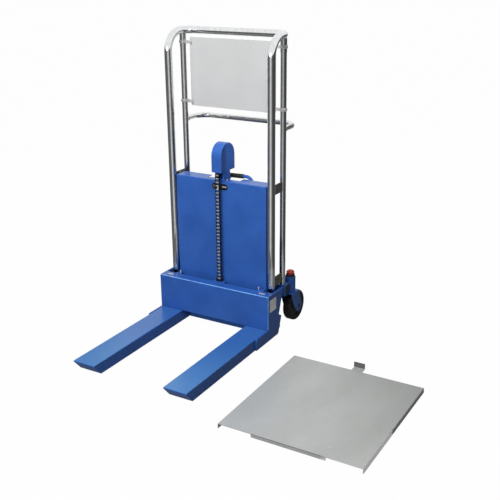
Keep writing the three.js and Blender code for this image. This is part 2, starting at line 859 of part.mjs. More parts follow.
function wheelCover() {
  const middle = ramY + coverShift;
  const dome = (r, bottom) => [
    [middle + r, bottom], ...arcPoints(middle, chainWheelZ, r, 0, 180, 16), [middle - r, bottom],
  ];
  const inside = coverHalfWidth - coverSheet;
  return cut(
    prismX(dome(coverRadius, coverBottom), -coverHalfWidth, coverHalfWidth),
    prismX(dome(coverRadius - coverSheet, coverBottom - overrun), -inside, inside),
  );
}

function chainWheel() {
  const root = chainPitchRadius - chainHalfDepth - gap;
  const lip = chainPitchRadius + chainWheelLip;
  const bore = chainWheelAxle + gap;
  const half = chainWheelWidth / 2;
  return spunX([
    [bore, -half], [lip, -half], [lip, -chainWheelGroove], [root, -chainWheelGroove],
    [root, chainWheelGroove], [lip, chainWheelGroove], [lip, half], [bore, half], [bore, -half],
  ], 0, ramY, chainWheelZ, 32);
}

// A straight run of leaf chain between two heights: full at each pin, waisted between pins
function chainRun(y, z0, z1) {
  const count = Math.round((z1 - z0) / chainPitch);
  const waist = chainHalfDepth * chainWaistShare;
  const edge = Array.from({ length: 2 * count + 1 }, (_, i) =>
    [i % 2 ? chainHalfDepth : waist, z0 + (z1 - z0) * i / (2 * count)]);
  return prismX([
    ...edge.map(([d, z]) => [y + d, z]), ...edge.map(([d, z]) => [y - d, z]).reverse(),
  ], -chainHalfWidth, chainHalfWidth);
}

function chainArc() {
  const inner = chainPitchRadius - chainHalfDepth;
  const outer = chainPitchRadius + chainHalfDepth;
  const top = chainWheelZ + gap;
  return prismX([
    ...arcPoints(ramY, top, outer, 0, 180, 16), ...arcPoints(ramY, top, inner, 180, 0, 16),
  ], -chainHalfWidth, chainHalfWidth);
}

function rearAnchor() {
  const y0 = rearChainY - chainHalfDepth;
  const foot = rearAnchorTop - 2 * rearAnchorSheet;
  return prismX([
    [y0, foot], [beamFront - gap, foot], [beamFront - gap, rearAnchorTop - rearAnchorSheet],
    [rearChainY + 2 * chainHalfDepth, rearAnchorTop - rearAnchorSheet],
    [rearChainY + chainHalfDepth, rearAnchorTop], [y0, rearAnchorTop],
  ], -rearAnchorHalfWidth, rearAnchorHalfWidth);
}

// Pump and pedal

function pumpBody() {
  const front = ramY + cylinderRadius + gap;
  const body = block(-pumpHalfWidth, pumpHalfWidth, front, pumpBack, legTop + gap, pumpTop);
  const boreFloor = pumpTop - plungerDepth - plungerTravel - gap;
  return cut(body, rodZ(0, plungerY, boreFloor, pumpTop + overrun, plungerRadius + gap));
}

function pumpPlunger() {
  const foot = pumpTop - plungerDepth;
  return spunZ([
    [0, foot], [plungerRadius, foot],
    [plungerRadius, plungerTop - plungerHeadHeight], [plungerHeadRadius, plungerTop - plungerHeadHeight],
    [plungerHeadRadius, plungerTop], [0, plungerTop],
  ], 0, plungerY);
}

// The return spring: a wire wound round the plunger, its two ends standing straight on the pump
// and against the plunger's head
function plungerSpring() {
  const foot = pumpTop + gap;
  const head = plungerTop - plungerHeadHeight - gap;
  const reach = 2 * springWire + springBend;
  const steps = 8 * springTurns;
  const turns = Array.from({ length: steps + 1 }, (_, i) => [
    springRadius * Math.cos(2 * Math.PI * i / 8),
    plungerY + springRadius * Math.sin(2 * Math.PI * i / 8),
    foot + reach + (head - foot - 2 * reach) * i / steps,
  ]);
  const first = turns[0];
  const last = turns[steps];
  const lead = bentRoute([[first[0], first[1], foot], first, turns[1]], [springBend], 3);
  const tail = bentRoute([turns[steps - 1], last, [last[0], last[1], head]], [springBend], 3);
  const middle = turns.slice(1, -1).map((p) => new THREE.Vector3(...p));
  const stations = [...lead.slice(0, -1), ...middle, ...tail.slice(1)];
  printLeastGap('plunger spring', stations, springWire);
  return tube(stations, springWire, 0, 5);
}

// Prints how near a wound wire comes to its own neighbouring turns
function printLeastGap(label, stations, radius) {
  const points = [];
  for (let i = 1; i < stations.length; i += 1) {
    for (let k = 0; k < 4; k += 1) {
      points.push(stations[i - 1].clone().lerp(stations[i], k / 4));
    }
  }
  let least = Infinity;
  let run = 0;
  const along = points.map((p, i) => (i ? (run += p.distanceTo(points[i - 1])) : 0));
  for (let i = 0; i < points.length; i += 1) {
    for (let j = i + 1; j < points.length; j += 1) {
      if (along[j] - along[i] > 8 * radius) {
        least = Math.min(least, points[i].distanceTo(points[j]) - 2 * radius);
      }
    }
  }
  console.log(`${label}: least gap to itself ${least.toFixed(2)} mm`);
}

function footPedal() {
  const y = pedalPivotY;
  const z = pedalPivotZ;
  const half = pedalArmWidth / 2;
  const drop = pedalArmDepth / 2;
  const hub = rodX(-half, half, y, z, pedalHubRadius);
  const arm = prismX([
    [y, z - drop], [plungerY + pedalBumpRadius, z - drop], [pedalPadFront, pedalPadZ],
    [pedalPadFront, pedalPadZ + pedalPadSheet], [plungerY, z + drop], [y, z + drop],
  ], -half, half);
  const bump = rodX(-half, half, plungerY, plungerTop + gap + pedalBumpRadius, pedalBumpRadius);
  const pad = block(-pedalPadHalfWidth, pedalPadHalfWidth, pedalPadFront - overrun, pedalPadBack,
    pedalPadZ, pedalPadZ + pedalPadSheet);
  const bore = rodX(-half - overrun, half + overrun, y, z, pedalPinRadius + gap);
  return toGeometry([arm, bump, pad].map(toSolid).reduce((a, b) => a.add(b), toSolid(hub))
    .subtract(toSolid(bore)));
}

// Lowering lever

function leverRoute() {
  const slopeRun = gripStart + gripLength;
  const turn = [leverX, leverY, leverTopZ];
  const end = [
    leverX - leverBendRadius - slopeRun * Math.cos(leverTilt), leverY,
    leverTopZ - (leverBendRadius + slopeRun) * Math.sin(leverTilt),
  ];
  return bentRoute([[leverX, leverY, leverPivotZ + leverHubRadius / 2], turn, end], [leverBendRadius]);
}

function leverRod() {
  const half = leverHubWidth / 2;
  const hub = rodX(leverX - half, leverX + half, leverY, leverPivotZ, leverHubRadius);
  const bore = rodX(leverX - half - overrun, leverX + half + overrun, leverY, leverPivotZ,
    pedalPinRadius + gap);
  return toGeometry(toSolid(hub).add(toSolid(tube(leverRoute(), leverRadius, 0, 12)))
    .subtract(toSolid(bore)));
}

// The grip's bore is blind, so that it closes over the rod's end
function leverGrip() {
  const route = leverRoute();
  const end = route[route.length - 1];
  const along = end.clone().sub(route[route.length - 2]).normalize();
  const start = end.clone().addScaledVector(along, -gripLength);
  const cap = end.clone().addScaledVector(along, leverRadius / 2);
  const stop = end.clone().addScaledVector(along, gap);
  const lead = start.clone().addScaledVector(along, -overrun);
  return cut(tube([start, cap], gripRadius), tube([lead, stop], leverRadius + gap, 0, 12));
}

function releaseCable() {
  const lugX = leverX + leverHubWidth / 2 + gap + lugSheet / 2;
  const lugY = leverY - leverHubRadius / 2;
  const top = leverPivotZ - leverHubRadius - gap;
  const foot = pumpTop + gap;
  const rise = top - foot;
  const route = new THREE.CatmullRomCurve3([
    [lugX, lugY, top],
    [lugX, lugY, top - rise * cableShares.lead],
    [lugX - (lugX - cableEndX) * cableShares.lead, lugY, foot + rise * cableShares.high],
    [cableEndX + (lugX - cableEndX) * cableShares.lead, cableEndY, foot + rise * cableShares.low],
    [cableEndX, cableEndY, foot + rise * cableShares.lead],
    [cableEndX, cableEndY, foot],
  ].map((p) => new THREE.Vector3(...p)));
  return tube(route.getSpacedPoints(cableSteps), cableRadius, 0, 8);
}

// Loose platform

function platform() {
  const x0 = platformX - platformWidth / 2;
  const x1 = platformX + platformWidth / 2;
  const y0 = platformY - platformLength / 2;
  const y1 = platformY + platformLength / 2;
  const s = platformSheet;
  const deck = block(x0, x1, y0, y1, platformHeight - s, platformHeight);
  const sides = [[x0, x0 + s], [x1 - s, x1]].map(([a, b]) => block(a, b, y0, y1, 0, platformHeight));
  const lip = block(platformX - platformLipWidth / 2, platformX + platformLipWidth / 2, y0, y0 + s,
    platformHeight - platformLipHeight, platformHeight);
  const half = platformHookWidth / 2;
  const tongue = block(platformX - half, platformX + half, y1 - s, y1 + platformHookReach,
    platformHeight - s, platformHeight);
  const hook = block(platformX - half, platformX + half, y1 + platformHookReach - s,
    y1 + platformHookReach, platformHeight - s, platformHeight + platformHookRise);
  return join(deck, ...sides, lip, tongue, hook);
}

// Assembly

addPair('fork', fork, bluePaint);
add('carriage_front_plate', frontPlate(), bluePaint);
add('carriage_top_plate', topPlate(), bluePaint);
addPair('side_plate', sidePlate, bluePaint);
const upperShoeZ = carriageTop - carriageSheet - shoeTopInset - shoeHeight;
addPair('upper_guide_shoe', (side) => guideShoe(side, upperShoeZ), nylon);
addPair('lower_guide_shoe', (side) => guideShoe(side, lowerShoeZ), nylon);
add('chain_clevis', chainClevis(), zincPlate);

add('front_mast_tube', frontTube(), chromeTube);
addPair('rear_mast_tube', rearTube, chromeTube);
addPair('lower_tie_plate', (side) => tiePlate(side, lowerTieZ), zincPlate);
addPair('upper_tie_plate', (side) => tiePlate(side, upperTieZ), zincPlate);
add('push_handle', pushHandle(), chromeTube);
add('mast_panel', mastPanel(), bluePaint);
add('guard_screen', guardScreen(), screenPlastic);
addPair('upper_screen_clamp', (side) => screenClamp(side, screenTop - clampTopInset), zincPlate);
addPair('lower_screen_clamp', (side) => screenClamp(side, screenBottom + clampBottomInset), zincPlate);

addPair('leg', leg, bluePaint);
addPair('load_roller', loadRoller, blackSteel);
add('cross_member', crossMember(), bluePaint);
add('rear_beam', rearBeam(), bluePaint);
addPair('caster_column', casterColumn, bluePaint);
addPair('caster_fork', casterFork, bluePaint);
addPair('caster_wheel', casterWheel, tyreRubber);
addPair('brake_cup', brakeCup, blackRubber);
addPair('brake_knob', brakeKnob, redPlastic);

add('ram_cylinder', cylinder(), blackSteel);
add('ram_gland', glandNut(), zincPlate);
add('ram_rod', ramRod(), polishedRod);
add('wheel_yoke', yoke(), bluePaint);
add('wheel_cover', wheelCover(), bluePaint);
add('chain_wheel', chainWheel(), blackSteel);
const axleReach = coverHalfWidth - coverSheet - gap;
add('wheel_axle', rodX(-axleReach, axleReach, ramY, chainWheelZ, chainWheelAxle), zincPlate);
add('front_chain', chainRun(frontChainY, clevisTop + gap, chainWheelZ), blackSteel);
add('rear_chain', chainRun(rearChainY, rearAnchorTop + gap, chainWheelZ), blackSteel);
add('chain_over_wheel', chainArc(), blackSteel);
add('chain_anchor', rearAnchor(), zincPlate);

add('pump_body', pumpBody(), bluePaint);
add('pump_plunger', pumpPlunger(), polishedRod);
add('plunger_spring', plungerSpring(), blackSteel);
add('foot_pedal', footPedal(), bluePaint);
add('lowering_lever', leverRod(), bluePaint);
add('lever_grip', leverGrip(), blackRubber);
add('release_cable', releaseCable(), blackRubber);
add('platform', platform(), platformSteel);

// Shift the origin to the centre of the footprint, on the floor
const bounds = new THREE.Box3().setFromObject(lift);
lift.position.set(-(bounds.min.x + bounds.max.x) / 2, -(bounds.min.y + bounds.max.y) / 2, -bounds.min.z);

const assembly = new THREE.Group();
assembly.add(lift);

export default assembly;
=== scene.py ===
from math import cos, pi, radians, sin, sqrt, tan

import bpy
from mathutils import Matrix, Vector


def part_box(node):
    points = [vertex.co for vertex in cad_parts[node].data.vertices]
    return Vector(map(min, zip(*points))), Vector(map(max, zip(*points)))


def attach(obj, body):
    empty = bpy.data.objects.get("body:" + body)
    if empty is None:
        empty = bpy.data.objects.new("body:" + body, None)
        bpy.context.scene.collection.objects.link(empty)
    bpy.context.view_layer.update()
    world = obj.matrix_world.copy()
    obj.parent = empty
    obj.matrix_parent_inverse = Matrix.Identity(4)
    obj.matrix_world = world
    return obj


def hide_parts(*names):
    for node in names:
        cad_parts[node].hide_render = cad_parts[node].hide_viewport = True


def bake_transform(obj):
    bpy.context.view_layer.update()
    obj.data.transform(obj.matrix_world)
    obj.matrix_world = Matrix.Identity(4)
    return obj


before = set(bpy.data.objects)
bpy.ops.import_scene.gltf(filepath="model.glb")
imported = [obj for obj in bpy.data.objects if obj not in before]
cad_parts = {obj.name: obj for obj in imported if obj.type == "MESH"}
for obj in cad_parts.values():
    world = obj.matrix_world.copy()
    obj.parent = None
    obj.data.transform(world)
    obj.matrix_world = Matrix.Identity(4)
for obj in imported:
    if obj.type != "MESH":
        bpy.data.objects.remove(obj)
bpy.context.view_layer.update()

# The lift's own millimetres: x across from its middle, y back from the carriage's face, z up
mm = 0.001
middleX = sum(corner.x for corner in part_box("front_mast_tube")) / 2
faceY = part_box("carriage_front_plate")[0].y
gap = 0.3  # between pieces that touch without being one
hair = 0.001  # an edge whose ends differ by less than this lies level
sheetEdge = (0.5, 1, 40)  # how folded sheets are softened: width, segments and least angle
piecesMade = []


def at(x, y, z):
    return Vector((middleX + x * mm, faceY + y * mm, z * mm))


# Modelling helpers, all in the lift's millimetres


def clearSelection():
    if bpy.context.object and bpy.context.object.mode != "OBJECT":
        bpy.ops.object.mode_set(mode="OBJECT")
    bpy.ops.object.select_all(action="DESELECT")


def pick(*objects):
    clearSelection()
    for obj in objects:
        obj.select_set(True)
    bpy.context.view_layer.objects.active = objects[0]


def settle(obj):  # puts the object at the origin with its place in its mesh
    pick(obj)
    bpy.ops.object.transform_apply(location=True, rotation=True, scale=True)
    return obj


def added(operator, **settings):  # a new primitive, settled
    clearSelection()
    operator(**settings)
    return settle(bpy.context.object)


def edit(obj, kind="VERT", action="SELECT"):
    pick(obj)
    bpy.ops.object.mode_set(mode="EDIT")
    bpy.ops.mesh.select_mode(type=kind)
    bpy.ops.mesh.select_all(action=action)


def done():
    bpy.ops.object.mode_set(mode="OBJECT")


def choose(obj, kind, test):  # leaves edit mode on with the faces or edges that pass selected
    edit(obj, kind, "DESELECT")
    done()
    for part in (obj.data.polygons if kind == "FACE" else obj.data.edges):
        part.select = bool(test(part))
    bpy.ops.object.mode_set(mode="EDIT")


facing = {"front": (1, -1), "back": (1, 1), "bottom": (2, -1), "left": (0, -1), "right": (0, 1)}


def openUp(obj, sides):  # takes away the large faces on the named sides
    ways = [facing[side] for side in sides.split()]
    choose(obj, "FACE", lambda face: face.area > 1e-3
           and any(face.normal[i] * sign > 0.9 for i, sign in ways))
    bpy.ops.mesh.delete(type="FACE")
    done()


def roundOff(obj, test, width, segments):  # rounds the edges whose ends pass the test
    choose(obj, "EDGE", lambda line: test(*((obj.data.vertices[i].co - at(0, 0, 0)) / mm
                                            for i in line.vertices)))
    bpy.ops.mesh.bevel(offset=width * mm, segments=segments)
    done()
    return obj


def edgesAlong(axis):  # a test for the straight edges that run one way
    return lambda a, b: all(abs(step) < hair for step, way in zip(b - a, "XYZ") if way != axis)


def outward(obj):
    edit(obj)
    bpy.ops.mesh.remove_doubles(threshold=1e-6)
    bpy.ops.mesh.normals_make_consistent(inside=False)
    done()
    return obj


def applyModifier(obj, kind, **settings):
    pick(obj)
    modifier = obj.modifiers.new("shape", kind)
    for key, value in settings.items():
        setattr(modifier, key, value)
    bpy.ops.object.modifier_apply(modifier=modifier.name)
    return obj


def smooth(obj, angle=35):
    pick(obj)
    bpy.ops.object.shade_smooth_by_angle(angle=radians(angle))
    return obj


def evenOut(obj, angle=40):  # flat faces stay flat to the light beside rounded edges
    smooth(obj, angle)
    return applyModifier(obj, "WEIGHTED_NORMAL", keep_sharp=True, weight=80)


def soften(obj, width=0.8, segments=2, angle=30):  # rounds every sharp edge
    applyModifier(obj, "BEVEL", width=width * mm, segments=segments, limit_method="ANGLE",
                  angle_limit=radians(angle), miter_outer="MITER_ARC")
    return evenOut(obj)


def folded(shell, sides, bends, radius, steps, sheet):
    # sheet metal: the named sides taken away, the chosen edges bent, a wall inside the surface
    openUp(shell, sides)
    roundOff(shell, bends, radius, steps)
    return applyModifier(outward(shell), "SOLIDIFY", thickness=sheet * mm, offset=-1,
                         use_even_offset=True)


def box(low, high):
    a, b = at(*low), at(*high)
    return added(bpy.ops.mesh.primitive_cube_add, size=1, location=(a + b) / 2, scale=b - a)


def wide(half, front, back, bottom, top):  # a box across the lift's middle
    return box((-half, front, bottom), (half, back, top))


def chainOfPoints(spots):  # a line of vertices drawn one by one, left selected in edit mode
    obj = added(bpy.ops.mesh.primitive_plane_add, size=mm, location=spots[0])
    edit(obj)
    bpy.ops.mesh.merge(type="CENTER")
    for here, there in zip(spots, spots[1:]):
        bpy.ops.mesh.extrude_vertices_move(TRANSFORM_OT_translate={"value": there - here})
    bpy.ops.mesh.select_all(action="SELECT")
    return obj


def extrude(step):
    bpy.ops.mesh.extrude_region_move(TRANSFORM_OT_translate={"value": step})


def prism(points, depth):
    obj = chainOfPoints([at(*p) for p in points])
    bpy.ops.mesh.edge_face_add()
    extrude(Vector(depth) * mm)
    bpy.ops.mesh.select_all(action="SELECT")
    bpy.ops.mesh.normals_make_consistent(inside=False)
    done()
    return obj


def prismX(points, x0, x1):
    return prism([(x0, y, z) for y, z in points], (x1 - x0, 0, 0))


def prismY(points, y0, y1):
    return prism([(x, y0, z) for x, z in points], (0, y1 - y0, 0))


def prismZ(points, z0, z1):
    return prism([(x, y, z0) for x, y in points], (0, 0, z1 - z0))


def arc(a, b, radius, start, end, steps):
    turns = [radians(start + (end - start) * i / steps) for i in range(steps + 1)]
    return [(a + radius * cos(turn), b + radius * sin(turn)) for turn in turns]


def bothSides(half):  # points on the right side, led over to the same ones on the left
    return [(-x, *rest) for x, *rest in half] + list(half[::-1])


def balanced(lower):  # a profile's lower half with the same above it
    return [*lower, *((r, -h) for r, h in lower[::-1])]


alongAxis = {"X": Vector((1, 0, 0)), "Y": Vector((0, 1, 0)), "Z": Vector((0, 0, 1))}
outFrom = {"X": Vector((0, 0, 1)), "Y": Vector((0, 0, 1)), "Z": Vector((1, 0, 0))}


def turned(profile, centre, axis="Z", steps=40, angle=35):
    # a profile of (radius, height) points, drawn as a chain and spun once round its axis; one
    # that starts off the axis is a closed ring
    middle = at(*centre)
    spots = [middle + outFrom[axis] * r * mm + alongAxis[axis] * h * mm for r, h in profile]
    obj = chainOfPoints(spots + spots[:1] if profile[0][0] else spots)
    bpy.ops.mesh.spin(steps=steps, angle=2 * pi, center=middle, axis=alongAxis[axis])
    done()
    return smooth(outward(obj), angle)


def stub(radius, start, end, centre, axis="X", steps=16):  # a plain round bar
    return turned([(0, start), (radius, start), (radius, end), (0, end)], centre, axis, steps)


def bentTube(corners, bends, radius, sides=24, bendSteps=10):
    # a ring run from corner to corner and spun through the bend at each
    stops = [at(*corner) for corner in corners]
    heading = (stops[1] - stops[0]).normalized()
    obj = added(bpy.ops.mesh.primitive_circle_add, vertices=sides, radius=radius * mm,
                fill_type="NOTHING", location=stops[0],
                rotation=heading.to_track_quat("Z", "Y").to_euler())
    edit(obj)
    here = stops[0]
    for corner, following, bend in zip(stops[1:], stops[2:], bends):
        onward = (following - corner).normalized()
        turn = heading.angle(onward)
        axis = heading.cross(onward).normalized()
        trim = bend * mm * tan(turn / 2)
        bendStart = corner - heading * trim
        extrude(bendStart - here)
        bpy.ops.mesh.spin(steps=max(3, round(bendSteps * turn / (pi / 2))), angle=-turn, axis=axis,
                          center=bendStart + axis.cross(heading) * bend * mm)
        here, heading = corner + onward * trim, onward
    extrude(stops[-1] - here)
    bpy.ops.mesh.select_all(action="SELECT")
    bpy.ops.mesh.fill_holes(sides=sides)
    done()
    return smooth(outward(obj), 50)


def joined(*objects):
    pick(*objects)
    bpy.ops.object.join()
    return bpy.context.object


def copyOf(obj, move=Matrix.Identity(4)):
    twin = obj.copy()
    twin.data = obj.data.copy()
    bpy.context.scene.collection.objects.link(twin)
    twin.data.transform(move)
    return twin


def turnAbout(centre, axis, degrees):
    place = at(*centre)
    return (Matrix.Translation(place) @ Matrix.Rotation(radians(degrees), 4, axis)
            @ Matrix.Translation(-place))


def mirrored(obj):  # a copy flipped across the lift's middle
    twin = copyOf(obj)
    edit(twin)
    bpy.ops.transform.resize(value=(-1, 1, 1), center_override=at(0, 0, 0))
    bpy.ops.mesh.flip_normals()
    done()
    if twin.data.has_custom_normals:
        bpy.ops.mesh.customdata_custom_splitnormals_clear()
        applyModifier(twin, "WEIGHTED_NORMAL", keep_sharp=True, weight=80)
    return twin


def carve(obj, *cutters, operation="DIFFERENCE"):
    for cutter in cutters:
        applyModifier(obj, "BOOLEAN", object=cutter, operation=operation, solver="EXACT")
        bpy.data.objects.remove(cutter, do_unlink=True)
    return obj


def repeated(obj, count, step):
    return applyModifier(obj, "ARRAY", count=count, use_relative_offset=False,
                         use_constant_offset=True, constant_offset_displace=Vector(step) * mm)


def dress(obj, name, body, material, *replaced, slot=None):
    obj.name = name
    obj.data.name = name
    obj.data.materials.clear()
    obj.data.materials.append(material)
    if body:
        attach(obj, body)
    if replaced:
        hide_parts(*replaced)
    piecesMade.append(name)
    return obj


def secondFinish(obj, material, test):  # another material on the chosen faces
    obj.data.materials.append(material)
    choose(obj, "FACE", test)
    obj.active_material_index = len(obj.data.materials) - 1
    bpy.ops.object.material_slot_assign()
    done()


def dressPair(obj, name, body, material, node=None):
    # the piece is made for the right side; its mirror goes to the left
    pair = {"right": obj, "left": mirrored(obj)}
    for hand, piece in pair.items():
        ridden = body if body in ("chassis", "carriage") else f"{hand}_{body}"
        dress(piece, f"{hand}{name}", ridden, material, *([f"{hand}_{node}"] if node else []))
    return pair.values()


bolt = {"crown": 0.86, "washer": 1.5, "washerSheet": 1.4, "sides": 6, "washerSides": 18}


def hexBolt(x, y, z, across=10, height=6.4, axis="Z", flip=1):
    # washer and six-sided head with a chamfered crown, standing on the face at x, y, z
    reach = across / sqrt(3)
    sheet, rim = bolt["washerSheet"], reach * bolt["washer"]
    head = turned([(0, sheet), (reach, sheet), (reach, height - 1), (reach * bolt["crown"], height),
                   (0, height)], (0, 0, 0), axis, bolt["sides"], angle=20)
    washer = turned([(0, 0), (rim - 0.3, 0), (rim, 0.4), (rim - 0.3, sheet - 0.1), (0, sheet)],
                    (0, 0, 0), axis, bolt["washerSides"])
    whole = joined(head, washer)
    if flip < 0:
        origin = Matrix.Translation(at(0, 0, 0))
        whole.data.transform(origin @ Matrix.Scale(-1, 4, alongAxis[axis]) @ origin.inverted())
        outward(whole)
    whole.data.transform(Matrix.Translation(Vector((x, y, z)) * mm))
    return whole


weld = {"segments": 8, "rings": 5, "step": 1.1}


def weldBead(start, end, radius=2.2):  # overlapping ripples laid along a seam
    a, b = at(*start), at(*end)
    run = (b - a) / mm
    count = max(2, round(run.length / (radius * weld["step"])))
    bead = added(bpy.ops.mesh.primitive_uv_sphere_add, segments=weld["segments"],
                 ring_count=weld["rings"], radius=radius * mm, location=a)
    return smooth(repeated(bead, count, run / (count - 1)), 60)


def uprightBead(x, y, low, high, radius=2.2):
    return weldBead((x, y, low), (x, y, high), radius)


def weldRing(centre, axis, major, minor):  # a bead round a tube
    turn = {"Y": (pi / 2, 0, 0), "Z": (0, 0, 0)}[axis]
    return smooth(added(bpy.ops.mesh.primitive_torus_add, major_segments=36, minor_segments=8,
                        major_radius=major * mm, minor_radius=minor * mm, location=at(*centre),
                        rotation=turn), 60)


# Material helpers


def shaderOf(material):
    return material.node_tree.nodes["Principled BSDF"]


def newMaterial(name, **sockets):
    material = bpy.data.materials.new(name)
    material.use_nodes = True
    for key, value in sockets.items():
        shaderOf(material).inputs[key.replace("_", " ")].default_value = value
    return material


def nodeIn(owner, kind, **settings):  # a setting is a socket's value, or else the node's own
    node = owner.node_tree.nodes.new(f"ShaderNode{kind}")
    for key, value in settings.items():
        entry = key.replace("_", " ")
        if entry in node.inputs:
            node.inputs[entry].default_value = value
        else:
            setattr(node, key, value)
    return node


def wire(source, output, target, entry):
    target.id_data.links.new(source.outputs[output], target.inputs[entry])


def pattern(material, scale, detail=4, roughness=0.5, stretch=(1, 1, 1)):
    # noise on Object coordinates, stretched where a finish has a direction
    place = nodeIn(material, "TexCoord")
    turn = nodeIn(material, "Mapping", Scale=stretch)
    noise = nodeIn(material, "TexNoise", Scale=scale, Detail=detail, Roughness=roughness)
    wire(place, "Object", turn, "Vector")
    wire(turn, "Vector", noise, "Vector")
    return noise


def tint(material, noise, dark, light, low=0.35, high=0.65):
    ramp = nodeIn(material, "ValToRGB")
    for mark, position, color in zip(ramp.color_ramp.elements, (low, high), (dark, light)):
        mark.position = position
        mark.color = (*color, 1)
    wire(noise, 0, ramp, "Fac")
    wire(ramp, "Color", shaderOf(material), "Base Color")


def finish(name, slot, tone, gloss, bump=None, span=(0.35, 0.65), **sockets):
    # tone is the dark and light colour, gloss the lowest and highest roughness, bump its strength
    # and depth; each goes on with its noise: scale, detail, roughness and stretch
    material = newMaterial(name, **sockets)
    dark, light, *noise = tone
    tint(material, pattern(material, *noise), dark, light, *span)
    if gloss:
        low, high, *noise = gloss
        spread = nodeIn(material, "MapRange", To_Min=low, To_Max=high)
        wire(pattern(material, *noise), 0, spread, "Value")
        wire(spread, "Result", shaderOf(material), "Roughness")
    if bump:
        strength, depth, *noise = bump
        relief = nodeIn(material, "Bump", Strength=strength, Distance=depth)
        wire(pattern(material, *noise), 0, relief, "Height")
        wire(relief, "Normal", shaderOf(material), "Normal")
    return material


bluePaint = finish("blueEnamel", "blue_paint", ((0.020, 0.078, 0.315), (0.026, 0.094, 0.365), 9, 3),
                   (0.26, 0.40, 30), (0.05, 0.0004, 420, 2), Specular_Tint=(0.45, 0.85, 1, 1),
                   Coat_Weight=0.15, Coat_Roughness=0.12)
# A paler blue for the carriage front's rounded top edge and ends: a painted highlight along the
# edge
edgeHighlightPaint = finish("paintedHighlightEdge", None, ((0.12, 0.30, 0.66), (0.22, 0.46, 0.84), 25),
                   (0.24, 0.36, 60), Coat_Weight=0.15)

# The forks' top faces get a paler blue that grows paler towards their tips: painted light on the
# tops and a painted sheen towards the tips
tipSheen = {"heel": (0.032, 0.112, 0.352), "tip": (0.059, 0.168, 0.396), "from": -150, "to": -620}
forkSheenPaint = bluePaint.copy()
forkSheenPaint.name = "forkSheenEnamel"
forkPlace = nodeIn(forkSheenPaint, "TexCoord")
forkAxis = nodeIn(forkSheenPaint, "SeparateXYZ")
forkSheenShare = nodeIn(forkSheenPaint, "MapRange", interpolation_type="SMOOTHSTEP",
                   From_Min=at(0, tipSheen["from"], 0).y, From_Max=at(0, tipSheen["to"], 0).y)
wire(forkPlace, "Object", forkAxis, "Vector")
wire(forkAxis, "Y", forkSheenShare, "Value")
tint(forkSheenPaint, forkSheenShare, tipSheen["heel"], tipSheen["tip"], 0, 1)

chromeTube = finish("chromePlate", "chrome_tube", ((0.72, 0.73, 0.74), (0.83, 0.84, 0.85), 60, 5),
                    (0.05, 0.13, 45, 5), (0.05, 0.0006, 26, 2, 0.5, (1, 1, 0.25)), Metallic=1)
zincPlate = finish("zincPlate", "zinc_plate",
                   ((0.40, 0.40, 0.36), (0.66, 0.66, 0.61), 120, 6, 0.7), (0.22, 0.45, 260),
                   Metallic=0.9)
brightZinc = finish("brightZinc", "zinc_plate", ((0.46, 0.45, 0.45), (0.64, 0.63, 0.63), 160),
                    (0.3, 0.5, 300), Metallic=0.5)
# A near-white finish for the small pin in the panel's slot: a painted glint
glintPinPaint = finish("glintPinPaint", "zinc_plate", ((0.78, 0.79, 0.81), (0.88, 0.89, 0.91), 200),
                 (0.18, 0.28, 300), Metallic=0.5)
tieZinc = finish("tieZinc", "zinc_plate", ((0.18, 0.185, 0.18), (0.24, 0.245, 0.235), 120),
                 (0.38, 0.52, 200), Metallic=0.6)
agedZinc = finish("agedZinc", "zinc_plate",
                  ((0.035, 0.034, 0.026), (0.50, 0.49, 0.40), 150, 6, 0.75), (0.35, 0.6, 200),
                  span=(0.44, 0.58), Metallic=0.8)
# A dark grey for the hooked tongue's upright front faces: a painted dark reflection
hookShadePaint = finish("hookShadePaint", None, ((0.10, 0.10, 0.105), (0.13, 0.13, 0.135), 150), None,
                   Metallic=0.2, Roughness=0.5)
polishedRod = finish("groundRod", "polished_rod", ((0.72, 0.73, 0.74), (0.80, 0.81, 0.82), 50),
                     (0.05, 0.14, 60, 4, 0.5, (1, 1, 18)), Metallic=1)
blackSteel = finish("blackSteel", "black_steel", ((0.012, 0.012, 0.014), (0.035, 0.034, 0.036), 80),
                    (0.3, 0.5, 150), Metallic=0.6)
chainSteel = finish("oiledChain", "black_steel",
                    ((0.020, 0.020, 0.022), (0.060, 0.058, 0.056), 300), (0.25, 0.45, 500),
                    Metallic=0.9)
rollerSteel = finish("wornRoller", "black_steel", ((0.56, 0.56, 0.57), (0.76, 0.76, 0.77), 400),
                     (0.22, 0.34, 700), Metallic=1)
blackRubber = finish("blackRubber", "black_rubber",
                     ((0.010, 0.0095, 0.009), (0.026, 0.023, 0.021), 90), (0.55, 0.8, 160),
                     (0.2, 0.0003, 900))
tyreRubber = finish("tyreRubber", "black_tyre",
                    ((0.007, 0.0065, 0.0065), (0.024, 0.016, 0.014), 40), (0.5, 0.8, 120),
                    (0.15, 0.0003, 700))
redPlastic = finish("redPlastic", "red_plastic", ((0.47, 0.026, 0.020), (0.60, 0.042, 0.030), 60),
                    (0.24, 0.38, 90), Coat_Weight=0.3)
darkNylon = finish("darkNylon", "dark_nylon", ((0.014, 0.015, 0.017), (0.030, 0.031, 0.034), 140),
                   (0.4, 0.6, 300))
greyScreen = finish("paleScreen", "grey_screen",
                    ((0.440, 0.442, 0.444), (0.465, 0.467, 0.469), 5, 2), (0.12, 0.22, 55),
                    Coat_Weight=0.2)
blankLabel = finish("blankLabel", "grey_screen", ((0.70, 0.69, 0.69), (0.78, 0.77, 0.77), 30),
                    (0.3, 0.42, 80))
platformSteel = finish("bareSheet", "platform_steel",
                       ((0.40, 0.41, 0.40), (0.47, 0.48, 0.47), 6, 8, 0.65, (1, 0.4, 1)),
                       (0.34, 0.52, 40, 8, 0.5, (1, 14, 1)),
                       (0.06, 0.0003, 90, 6, 0.5, (1, 12, 1)), span=(0.3, 0.7), Metallic=0.35)

